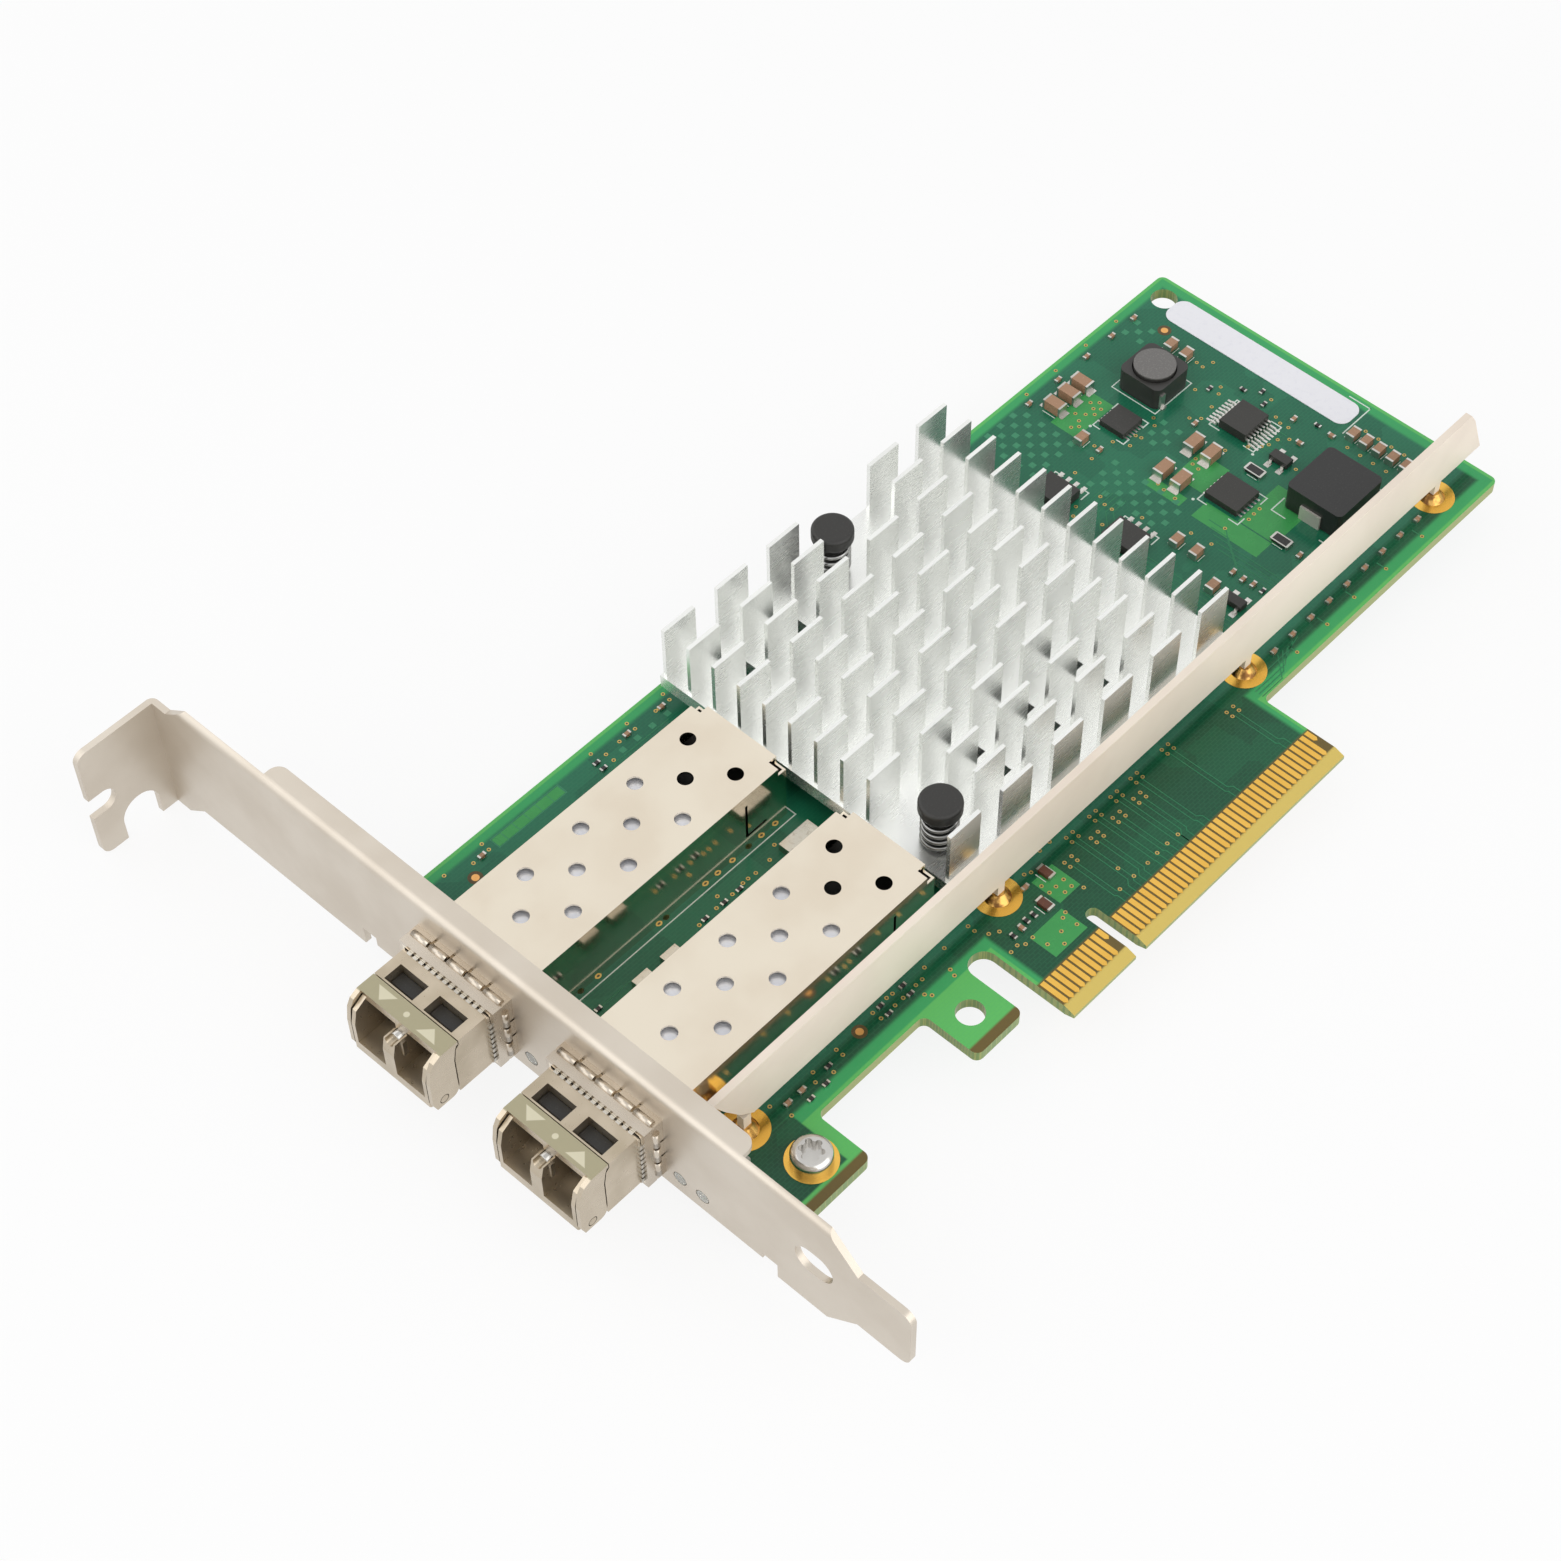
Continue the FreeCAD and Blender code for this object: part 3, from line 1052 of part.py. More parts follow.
def make_port_lights():
    """Light guides: a pin in each of the bracket's small holes on a foot at the board's edge."""
    guides = []
    for port in PORTS:
        for away in ("light_near", "light_far"):
            y = f"{port} - {away}"
            pin = rod("x", (y, "light_z"), "light_radius", ("bracket_face", "board_left"))
            foot = block(("board_left", "board_left + 2.4"), (f"{y} - light_radius", f"{y} + light_radius"),
                         ("0", "light_radius + light_z"))
            guides.append(fuse([pin, foot], "LightGuide"))
    keep("port_lights", group(guides))


def make_label():
    sticker = block(("label_left", "label_right"), ("label_low", "label_high"), ("0", "label_thick"))
    keep("label", rounded(sticker, "1.6", "z", lies=lambda at: True, name="Label"))


def main():
    make_board()
    make_contacts()
    make_bracket()
    make_bracket_screw()
    for number, port in enumerate(PORTS, start=1):
        make_cage(number, port)
        make_collar(number, port)
        make_socket(number, port)
        make_module_body(number, port)
        make_module_insides(number, port)
        make_bail(number, port)
    make_heatsink()
    make_controller()
    for number, pin in enumerate(PINS, start=1):
        make_push_pin(number, pin)
    make_rail()
    make_inductors()
    make_chips()
    make_two_ended()
    make_port_lights()
    make_label()
    doc.recompute()

    for thing in doc.Objects:
        if "Invalid" in thing.State or "Error" in thing.State:
            raise RuntimeError(f"{thing.Label} failed: {thing.State}")
    for node, thing in parts.items():
        shape = thing.Shape
        if shape.isNull() or not shape.isValid() or not shape.Solids:
            raise RuntimeError(f"{node} has no sound solid")

    os.makedirs("parts", exist_ok=True)
    for node, thing in parts.items():
        thing.Shape.exportStep(f"parts/{node}.step")
        print(f"{node}: {len(thing.Shape.Solids)} solids, {thing.Shape.Volume:.2f} mm3")


main()
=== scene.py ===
# %% [markdown]
# # A network interface card, dressed for its portrait
# The solid model gives every main shape of the card: board, bracket, cages, modules, heat sink.
# What it lacks is what a reader meets first in life: the green lacquer over copper, gold plating,
# satin nickel, cast zinc, printed white lines and hundreds of tiny plated holes. This lesson adds
# those with mesh tools and with materials made of nodes. First the model is loaded and measured.
# Its own shapes stay as they are.

# %% Load the fixed frame
import math
import bpy
import bmesh
from mathutils import Matrix, Vector


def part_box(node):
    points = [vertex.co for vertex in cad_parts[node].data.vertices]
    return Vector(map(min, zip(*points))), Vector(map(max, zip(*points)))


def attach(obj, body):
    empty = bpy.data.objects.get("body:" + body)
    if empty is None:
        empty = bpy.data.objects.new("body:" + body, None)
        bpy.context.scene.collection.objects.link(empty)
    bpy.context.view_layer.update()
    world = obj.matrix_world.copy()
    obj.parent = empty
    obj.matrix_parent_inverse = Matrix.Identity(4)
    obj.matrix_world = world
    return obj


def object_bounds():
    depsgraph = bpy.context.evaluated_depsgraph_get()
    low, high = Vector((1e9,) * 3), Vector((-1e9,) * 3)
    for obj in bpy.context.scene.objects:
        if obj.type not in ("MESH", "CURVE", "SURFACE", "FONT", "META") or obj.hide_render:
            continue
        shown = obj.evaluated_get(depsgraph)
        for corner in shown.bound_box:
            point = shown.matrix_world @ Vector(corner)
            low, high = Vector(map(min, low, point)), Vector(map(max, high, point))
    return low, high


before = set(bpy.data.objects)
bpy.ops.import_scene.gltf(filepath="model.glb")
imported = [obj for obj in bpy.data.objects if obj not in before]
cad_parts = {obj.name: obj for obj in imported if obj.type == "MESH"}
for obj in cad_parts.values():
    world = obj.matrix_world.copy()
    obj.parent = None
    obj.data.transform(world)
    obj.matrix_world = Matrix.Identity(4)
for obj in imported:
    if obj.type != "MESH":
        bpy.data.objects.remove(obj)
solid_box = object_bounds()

MM = 0.001

# %% [markdown]
# ## The table
# A card shown in a catalogue lies on a white table. A large grid bent up at the back would hide
# the horizon, but the lens looks so steeply down that a flat floor just under the lowest point of
# the bracket does the same, and it cannot cast a shade of its own.

# %% Floor under the lowest edge
FLOOR_REACH = 3.0
FLOOR_GAP = 0.05
lowest = solid_box[0].z
bm = bmesh.new()
bmesh.ops.create_grid(bm, x_segments=1, y_segments=1, size=FLOOR_REACH,
                      matrix=Matrix.Translation((0, 0, lowest - FLOOR_GAP * MM)))
floor_mesh = bpy.data.meshes.new("floor")
bm.to_mesh(floor_mesh)
bm.free()
floor = bpy.data.objects.new("floor", floor_mesh)
bpy.context.collection.objects.link(floor)
print("floor at", round(lowest / MM, 2), "mm")

# %% [markdown]
# ## Writing materials as sums
# A material here is a small sum over places: how far from the edge, how much grain, which side of
# a line. A drawing of boxes and cords hides such sums, so one class wraps a socket and lets + - *
# stand for Math nodes. A second class holds one material and has a single method that makes any
# node.


# %% A wire that can be added and multiplied
class Wire:
    """The output of a node, which can be used in sums."""

    def __init__(self, finish, socket):
        self.finish, self.socket = finish, socket

    def math(self, operation, *terms):
        return self.finish.node("Math", {"operation": operation}, dict(enumerate(terms)))

    def __add__(self, other): return self.math("ADD", self, other)
    def __radd__(self, other): return self.math("ADD", self, other)
    def __sub__(self, other): return self.math("SUBTRACT", self, other)
    def __rsub__(self, other): return self.math("SUBTRACT", other, self)
    def __mul__(self, other): return self.math("MULTIPLY", self, other)
    def __rmul__(self, other): return self.math("MULTIPLY", self, other)
    def least(self, other): return self.math("MINIMUM", self, other)
    def most(self, other): return self.math("MAXIMUM", self, other)
    def size(self): return self.math("ABSOLUTE", self)


print("wires can be summed")


# %% One material and its node maker
class Finish:
    """A material under construction, or a world, with places measured in millimetres."""

    def __init__(self, name, holder=None):
        self.material = holder or bpy.data.materials.new(name)
        self.material.use_nodes = True
        self.tree = self.material.node_tree
        self.tree.nodes.clear()

    def node(self, kind, settings=None, sockets=None, out=0):
        """Makes any node: first its settings, then the values or wires of its sockets."""
        made = self.tree.nodes.new("ShaderNode" + kind)
        for key, setting in (settings or {}).items():
            if key == "stops":
                while len(made.color_ramp.elements) < len(setting):
                    made.color_ramp.elements.new(0.5)
                for element, (place, colour) in zip(made.color_ramp.elements, setting):
                    element.position, element.color = place, colour
            else:
                setattr(made, key, setting)
        for key, value in (sockets or {}).items():
            if isinstance(value, Wire):
                self.tree.links.new(value.socket, made.inputs[key])
            else:
                made.inputs[key].default_value = value
        return Wire(self, made.outputs[out]) if made.outputs else made

    def place(self):
        """Where a point lies on the card, in millimetres."""
        spot = self.node("TexCoord", out="Object")
        return self.node("VectorMath", {"operation": "SCALE"}, {0: spot, "Scale": 1 / MM})

    def parts(self, vector):
        """The three numbers of a vector."""
        return [self.node("SeparateXYZ", None, {0: vector}, out=i) for i in range(3)]

    def noise(self, vector, scale, detail=2.0, rough=0.5):
        """Grey clouds. scale says about how many there are to a millimetre."""
        return self.node("TexNoise", None, {
            "Vector": vector, "Scale": scale, "Detail": detail, "Roughness": rough})

    def stretched(self, vector, x, y, z):
        """The same places squeezed along each axis, for grain that runs one way."""
        return self.node("Mapping", None, {"Vector": vector, "Scale": (x, y, z)})

    def mix(self, factor, first, second):
        """From the first colour to the second as the factor goes from 0 to 1."""
        return self.node("Mix", {"data_type": "RGBA"}, {0: factor, 6: first, 7: second}, out=2)

    def step(self, value, low, high):
        """0 below low, 1 above high and smooth between."""
        return self.node("MapRange", {"interpolation_type": "SMOOTHSTEP"},
                         {"Value": value, "From Min": low, "From Max": high})

    def bump(self, height, strength, distance):
        """Makes small unevenness out of a height, with the distance in millimetres."""
        return self.node("Bump", None, {
            "Height": height, "Strength": strength, "Distance": distance * MM})

    def surface(self, **sockets):
        """Closes the material with a Principled surface. Names use _ for a space."""
        named = {key.replace("_", " "): value for key, value in sockets.items()}
        shader = self.node("BsdfPrincipled", None, named)
        self.node("OutputMaterial", None, {"Surface": shader})
        return self.material


print("finishes can be built")

# %% [markdown]
# ## Colours as a screen shows them
# A colour is easiest to give as the three numbers, 0 to 255, that a screen uses. Blender's nodes
# want light values, which rise faster than those numbers do. A colour picker would convert them
# by hand; a small function does it wherever a colour is written.


# %% From screen numbers to light
def rgb(red, green, blue):
    """A colour given as the screen shows it, 0 to 255, turned into light values."""
    def light(part):
        part /= 255
        return part / 12.92 if part <= 0.04045 else ((part + 0.055) / 1.055) ** 2.4
    return (light(red), light(green), light(blue), 1.0)


print("middle grey is", round(rgb(128, 128, 128)[0], 3), "as light")

# %% [markdown]
# ## A white room that stays honest
# The lens and the reflections see plain white, so the edges of polished metal fade into the
# background as they do in the studio. More light on the card would whiten the room too, but it
# would also bleach the card. So the light that falls on the card comes from a duller world and
# from the lamps, a colour shows about as it is written, and Light Path tells the rays apart.

# %% Rays that meet plain white
WHITE = (1, 1, 1, 1)


def white_rays(finish):
    """1 for the rays that should meet plain white: seen, mirrored or passed through glass."""
    kinds = [finish.node("LightPath", out=f"Is {kind} Ray")
             for kind in ("Camera", "Glossy", "Transmission")]
    return kinds[0].most(kinds[1]).most(kinds[2])


print("white rays can be told apart")

# %% White table top
GLOW_SHARE = 0.86
table_top = Finish("table_top")
seen = white_rays(table_top)
grain = table_top.noise(table_top.place(), 0.02, 3.0)
paper = table_top.node("BsdfPrincipled", None, {
    "Base Color": table_top.mix(grain * 0.3, (0.86, 0.86, 0.86, 1), (0.82, 0.82, 0.83, 1)),
    "Roughness": 0.8})
glow = table_top.node("Emission", None, {"Color": WHITE, "Strength": 1.0})
mixed = table_top.node("MixShader", None, {0: seen * GLOW_SHARE, 1: paper, 2: glow})
table_top.node("OutputMaterial", None, {"Surface": mixed})
floor.data.materials.append(table_top.material)
print("table top has", len(table_top.tree.nodes), "nodes")

# %% Room
ROOM_LIGHT = 0.68
world = bpy.data.worlds.new("white_room")
room = Finish("white_room", world)
bpy.context.scene.world = world
seen = white_rays(room)
height = room.parts(room.node("TexCoord", out="Generated"))[2]
ceiling = room.node("ValToRGB", {"stops": [(0.0, (0.7, 0.7, 0.7, 1)), (0.8, WHITE)]}, {0: height})
around = room.node("Background", None, {"Color": ceiling, "Strength": ROOM_LIGHT})
behind = room.node("Background", None, {"Color": WHITE, "Strength": 1.0})
shown = room.node("MixShader", None, {0: seen, 1: around, 2: behind})
room.node("OutputWorld", None, {"Surface": shown})
print("room light", ROOM_LIGHT)

# %% [markdown]
# ## Lamps
# Metal shows what stands around it, and a single small lamp leaves nickel and gold dead under one
# hard spark. Three big soft boxes give a slow change from bright to grey instead. The strongest
# stands in front of the contacts' edge, a second faces the ports, and a faint one behind the far
# edge grazes the fins.

# %% Soft boxes
# Where each stands, the point it faces, its width (all in millimetres) and its power.
SOFT_BOXES = {
    "lamp_front": ((60, -560, 330), (10, 30, 0), 800, 2.5),
    "lamp_ports": ((-520, 120, 330), (0, 40, 0), 600, 0.9),
    "lamp_far": ((-160, 560, 420), (10, 40, 0), 600, 0.75),
}
for name, (place, aim, wide, power) in SOFT_BOXES.items():
    lamp = bpy.data.lights.new(name, "AREA")
    lamp.size, lamp.energy = wide * MM, power
    box = bpy.data.objects.new(name, lamp)
    box.location = Vector(place) * MM
    box.rotation_euler = (Vector(aim) - Vector(place)).to_track_quat("-Z", "Y").to_euler()
    bpy.context.collection.objects.link(box)
    print(name, "at", place, "mm")

# %% [markdown]
# ## The lens
# The card is seen from above its ports' end, a little to the near side. A short lens close by
# would make the ports look huge, so this one is fairly long. It is rolled by a degree or two and
# its frame is slid a little off its axis, which sets the board's edges at their right slant.

# %% Camera
EYE = Vector((-177.53, -113.29, 299.86))
AIM = Vector((-13.74, 25.35, 0.0))
FOCAL, SLIDE, ROLL = 72.55, 0.0766, 1.8
camera_data = bpy.data.cameras.new("camera")
camera = bpy.data.objects.new("camera", camera_data)
bpy.context.collection.objects.link(camera)
bpy.context.scene.camera = camera
camera_data.lens = FOCAL
camera_data.shift_x, camera_data.shift_y = -SLIDE, SLIDE
facing = (AIM - EYE).to_track_quat("-Z", "Y").to_matrix().to_4x4()
tilt = Matrix.Rotation(math.radians(ROLL), 4, "Z")
camera.matrix_world = Matrix.Translation(EYE * MM) @ facing @ tilt
camera_data.clip_start, camera_data.clip_end = 0.01, 20
bpy.context.scene.view_settings.view_transform = "Standard"
print("camera", [round(v, 3) for v in camera.location], "lens", round(camera_data.lens, 1))

# %% [markdown]
# ## Sheet metals of the card
# Sheet nickel has a warm satin face whose fine rolling lines run along the strip. A drawn line
# for each scratch would be slow, so a noise squeezed along one axis gives the lines, and a second,
# wide noise gives the cloudy look that handling leaves. Aluminium fins, tin and spring steel
# differ only in colour, sheen and the run of their lines, so one function makes them all.


# %% A recipe for sheet metal
def sheet_metal(name, colour, cloudy, rough, along=(1, 1, 1), lines=0.1, metal=1.0):
    """Rolled and plated sheet. along gives the squeeze of the rolling lines on each axis."""
    finish = Finish(name)
    place = finish.place()
    clouds = finish.noise(place, 0.09, 3.0)
    rolled = finish.noise(finish.stretched(place, *along), 3.0)
    base = finish.mix(finish.step(clouds, 0.35, 0.7), colour, cloudy)
    return finish.surface(
        Base_Color=base, Metallic=metal, Roughness=rough + clouds * 0.08 + rolled * 0.06,
        Normal=finish.bump(rolled, lines, 0.01))


print("sheet metal recipe ready")

# %% Nickel, tin, steel and aluminium
bracket_nickel = sheet_metal("bracket_nickel", rgb(211, 202, 189), rgb(203, 193, 179),
                             rough=0.34, along=(1, 0.06, 1), lines=0.12, metal=0.8)
cage_nickel = sheet_metal("cage_nickel", rgb(233, 223, 205), rgb(226, 214, 195),
                          rough=0.04, along=(0.05, 1, 1), lines=0.03)
rail_nickel = sheet_metal("rail_nickel", rgb(238, 226, 211), rgb(231, 218, 203),
                          rough=0.45, along=(0.04, 1, 1), metal=0.15)
inner_tin = sheet_metal("inner_tin", rgb(236, 237, 243), rgb(222, 224, 232),
                        rough=0.3, along=(0.05, 1, 1), lines=0.05, metal=0.4)
collar_steel = sheet_metal("collar_steel", rgb(206, 196, 182), rgb(188, 177, 162),
                           rough=0.2, along=(1, 0.3, 0.3), lines=0.03)
screw_steel = sheet_metal("screw_steel", rgb(205, 203, 199), rgb(180, 177, 172), rough=0.14)
spring_wire = sheet_metal("spring_wire", rgb(170, 170, 168), rgb(140, 140, 138), rough=0.22)
tinned = sheet_metal("tinned", rgb(214, 212, 207), rgb(190, 188, 182), rough=0.28, lines=0.3)
fins_aluminium = sheet_metal("fins_aluminium", rgb(243, 244, 241), rgb(236, 237, 234),
                             rough=0.2, along=(0.08, 1, 1), lines=0.01, metal=0.85)
clip_tin = sheet_metal("clip_tin", rgb(226, 222, 214), rgb(206, 202, 194),
                       rough=0.4, lines=0.2, metal=0.5)
print("sheet metals done")

# %% [markdown]
# ## Gold, copper and solder
# Contact gold is smooth and deep yellow, with only a breath of unevenness from the plating bath.
# The winding is round copper wire laid side by side: turning each loop of wire would cost many
# faces inside a case where few are seen, so bands of a wave stand for the turns, dark between
# turns as painted shade and bright on each as a painted highlight. The solder of the rail has run
# over gold, so it clouds from yellow to brown.

# %% Contact gold
gold_finish = Finish("contact_gold")
gold_place = gold_finish.place()
gold_cloud = gold_finish.noise(gold_place, 0.35, 3.0)
contact_gold = gold_finish.surface(
    Base_Color=gold_finish.mix(gold_cloud, rgb(244, 198, 100), rgb(228, 176, 76)), Metallic=1.0,
    Roughness=0.2 + gold_cloud * 0.12,
    Normal=gold_finish.bump(gold_finish.noise(gold_place, 4.0), 0.08, 0.01))
print(contact_gold.name)

# %% Copper winding
copper_finish = Finish("winding_copper")
shaded_turns = copper_finish.node("TexWave", {"wave_type": "BANDS", "bands_direction": "Z"},
                           {"Vector": copper_finish.place(), "Scale": 1.2, "Distortion": 0.2})
winding_copper = copper_finish.surface(
    # The colour bands are painted shade between the turns and a painted highlight on each turn.
    Base_Color=copper_finish.mix(shaded_turns, rgb(120, 62, 34), rgb(190, 112, 68)), Metallic=0.9,
    Roughness=0.35, Normal=copper_finish.bump(shaded_turns, 0.6, 0.1))
print(winding_copper.name)

# %% Solder over gold
joint_finish = Finish("joint_solder")
joint_cloud = joint_finish.noise(joint_finish.place(), 0.8, 3.0)
joint_tone = joint_finish.mix(joint_finish.step(joint_cloud, 0.4, 0.62),
                              rgb(214, 168, 92), rgb(120, 84, 48))
joint_solder = joint_finish.surface(
    Base_Color=joint_tone, Metallic=1.0, Roughness=0.18 + joint_cloud * 0.2,
    Normal=joint_finish.bump(joint_cloud, 0.5, 0.1))
print(joint_solder.name)

# %% [markdown]
# ## Die castings
# The heads of the modules are cast in zinc and plated. Their skin is faintly uneven all over,
# more like an orange's than like rolled sheet, so the noise here is round and not squeezed.


# %% Plated castings
def casting(name, light, dark, rough, pebble):
    """Plated die casting, faintly uneven all over."""
    finish = Finish(name)
    place = finish.place()
    skin = finish.noise(place, 1.6)
    clouds = finish.noise(place, 0.22)
    return finish.surface(
        Base_Color=finish.mix(finish.step(clouds, 0.3, 0.75), light, dark), Metallic=0.9,
        Roughness=rough + skin * 0.1, Normal=finish.bump(skin, pebble, 0.02))


zinc = casting("zinc_casting", rgb(198, 185, 165), rgb(178, 165, 143), rough=0.24, pebble=0.08)
barrel_metal = casting("optics_metal", rgb(178, 166, 140), rgb(140, 128, 104),
                       rough=0.3, pebble=0.1)
print(zinc.name, barrel_metal.name)

# %% [markdown]
# ## Painted latches
# The top of each bail latch is painted a dull olive beige, with two small paler triangles, one
# pointing in and one pointing out, and a dot between them. Thin plates laid on top could show
# them, but paint has no thickness, so a sum over places draws them: a triangle is wherever the
# way back from its tip is longer than the way out from its middle line.

# %% Latch paint
DOT_X, OUT_TIP, IN_TIP = -67.2, -67.95, -66.4
MARK_OFF, MARK_LONG, PAINT_DEEP = 3.7, 1.5, 0.06
latches = {}
for number in (1, 2):
    low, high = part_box(f"module_bail_{number}")
    latch = Finish(f"latch_paint_{number}")
    place = latch.place()
    x, y, z = latch.parts(place)
    across, along = y - (low.y + high.y) / 2 / MM, x - DOT_X
    marks = 1 - latch.step(across * across + along * along, 0.1, 0.18)
    for centre, depth in ((MARK_OFF, x - OUT_TIP), (-MARK_OFF, IN_TIP - x)):
        sides = latch.step(depth - (across - centre).size(), -0.05, 0.1)
        base = latch.step(depth, MARK_LONG - 0.05, MARK_LONG + 0.05)
        marks = marks.most(sides.least(1 - base))
    top = latch.step(z, high.z / MM - PAINT_DEEP - 0.03, high.z / MM - PAINT_DEEP + 0.03)
    skin = latch.noise(place, 1.8)
    paint = latch.mix(marks, rgb(168, 161, 132), rgb(212, 206, 180))
    metal = latch.mix(latch.noise(place, 0.4), rgb(202, 190, 171), rgb(186, 173, 153))
    latches[number] = latch.surface(
        Base_Color=latch.mix(top, metal, paint), Metallic=1 - top * 0.85,
        Roughness=0.24 + top * 0.25 + skin * 0.08, Normal=latch.bump(skin, 0.06, 0.02))
print(len(latches), "latches")

# %% [markdown]
# ## Moulded and fired parts
# Black packages are epoxy with a fine grey speckle. Cores of pressed iron are greyer and rougher.
# Capacitors are fired clay in tan brown, and the label is matt paper. Each could have a recipe of
# its own, but they differ only in colour, speckle and sheen, so one function makes them all.


# %% A recipe for speckled parts
def speckled(name, colour, fleck, rough, grain=5.0, share=(0.55, 0.72), height=0.15, metal=0.0):
    """A matt body with flecks of a second colour."""
    finish = Finish(name)
    place = finish.place()
    flecks = finish.noise(place, grain, 3.0, 0.6)
    broad = finish.noise(place, 0.3)
    return finish.surface(
        Base_Color=finish.mix(finish.step(flecks, *share), colour, fleck), Metallic=metal,
        Roughness=rough + broad * 0.12, Normal=finish.bump(flecks, height, 0.02))


print("speckled recipe ready")

# %% Plastic, clay, glaze and paper
cap_plastic = speckled("cap_plastic", rgb(40, 39, 37), rgb(56, 55, 52), rough=0.42)
chip_epoxy = speckled("chip_epoxy", rgb(47, 46, 43), rgb(66, 64, 60), rough=0.44, grain=6.0)
iron_core = speckled("iron_core", rgb(36, 36, 36), rgb(52, 52, 51), rough=0.24, grain=4.0)
ceramic = speckled("ceramic", rgb(165, 128, 100), rgb(182, 146, 118), rough=0.4, grain=4.0)
fuse_brown = speckled("fuse_brown", rgb(92, 52, 36), rgb(120, 74, 54), rough=0.3, grain=4.0)
resistor_glaze = speckled("resistor_glaze", rgb(34, 33, 33), rgb(58, 58, 58), rough=0.3)
thermal_gum = speckled("thermal_gum", rgb(150, 156, 166), rgb(120, 124, 132),
                       rough=0.6, grain=1.5)
crystal_can = speckled("crystal_can", rgb(196, 190, 178), rgb(176, 168, 154),
                       rough=0.2, grain=2.0, metal=1.0)
package = speckled("controller_package", rgb(40, 58, 48), rgb(52, 72, 60), rough=0.4, grain=3.0)
module_green = speckled("module_laminate", rgb(28, 98, 66), rgb(38, 118, 80),
                        rough=0.3, grain=1.0)
label_paper = speckled("label_paper", rgb(236, 236, 241), rgb(229, 229, 236),
                       rough=0.46, grain=1.2, share=(0.5, 0.8), height=0.05)
print("speckled parts done")

# %% [markdown]
# ## Ferrite and clear guides
# The drum inductor's case is nearly black, while the ground disc on its top is a paler grey. Two
# materials on one solid would need its faces sorted, so the height above the board picks the tone.
# The light guides by the ports are milky clear plastic that lets light through.

# %% Ferrite with a paler disc
DISC_FROM, DISC_FULL = 3.7, 3.95
drum = Finish("ferrite_drum")
drum_place = drum.place()
drum_fleck = drum.noise(drum_place, 4.0, 3.0, 0.6)
raised = drum.step(drum.parts(drum_place)[2], DISC_FROM, DISC_FULL)
disc_tone = drum.mix(drum.step(drum_fleck, 0.5, 0.7), rgb(106, 104, 102), rgb(124, 122, 119))
ferrite = drum.surface(
    Base_Color=drum.mix(raised, rgb(50, 49, 47), disc_tone),
    Roughness=0.36 + drum_fleck * 0.1, Normal=drum.bump(drum_fleck, 0.15, 0.02))
print(ferrite.name)

# %% Clear light guides
clear = Finish("light_guide")
milk = clear.noise(clear.place(), 0.8)
clear_guide = clear.surface(
    Base_Color=clear.mix(milk, rgb(238, 238, 232), rgb(222, 222, 214)),
    Roughness=0.12 + milk * 0.1, Transmission_Weight=0.6, IOR=1.49)
print(clear_guide.name)

# %% [markdown]
# ## Green lacquer over copper
# The board is a brownish glass laminate with copper inside and green lacquer on both faces. Where
# copper lies under the lacquer it looks deep green; the bare laminate along every edge shines
# through yellower and brighter. The cut edge shows the laminate itself, and the tongue's bevel
# is nearly yellow. A painted map could hold all this, but rectangles in the board's own
# millimetres stay sharp and are easily moved.


# %% Rectangles on the board
def between(finish, value, low, high, soft):
    """1 while a value lies between two limits and 0 outside, with a soft border."""
    reach = (high - low) / 2
    return 1 - finish.step((value - (low + high) / 2).size(), reach - soft, reach + soft)


def areas(finish, x, y, rectangles):
    """1 inside any of the rectangles, each given as x0, x1, y0, y1 and the softness."""
    masks = [between(finish, x, x0, x1, soft).least(between(finish, y, y0, y1, soft))
             for x0, x1, y0, y1, soft in rectangles]
    inside = masks[0]
    for mask in masks[1:]:
        inside = inside.most(mask)
    return inside


board = Finish("board_lacquer")
place = board.place()
x, y, z = board.parts(place)
copper_area = areas(board, x, y, (
    (-52.0, 87.2, 14.6, 67.3, 0.35), (-11.0, 38.0, 5.0, 15.2, 0.35),
    (-52.4, -44.0, 6.2, 14.8, 0.15)))
clear_of_edge = areas(board, x, y, (
    (-53.5, 88.5, 13.1, 68.4, 0.1), (-11.7, 38.7, -2, 14, 0.1)))
print("board areas written with", len(board.tree.nodes), "nodes")

# %% Copper planes under the lacquer
clouds = board.noise(place, 0.05, 3.0)
patches = board.node("TexVoronoi", {"feature": "F1", "distance": "CHEBYCHEV"},
                     {"Vector": board.stretched(place, 1.0, 1.0, 0.0), "Scale": 0.16}, out="Color")
plane_cut = board.step(board.parts(patches)[0], 0.62, 0.64) * 0.5
copper_under = board.mix(plane_cut, rgb(24, 101, 74), rgb(38, 120, 88))
copper_under = board.mix(clouds * 0.25, copper_under, rgb(18, 90, 66))
# Below about y 17 mm the copper tone is darker: painted shade of the stiffener rail over the lower
# board.
rail_shade_tone = board.mix(plane_cut, rgb(10, 74, 48), rgb(18, 92, 60))
copper_under = board.mix(1 - board.step(y, 16.4, 17.4), copper_under, rail_shade_tone)
print("copper planes done")

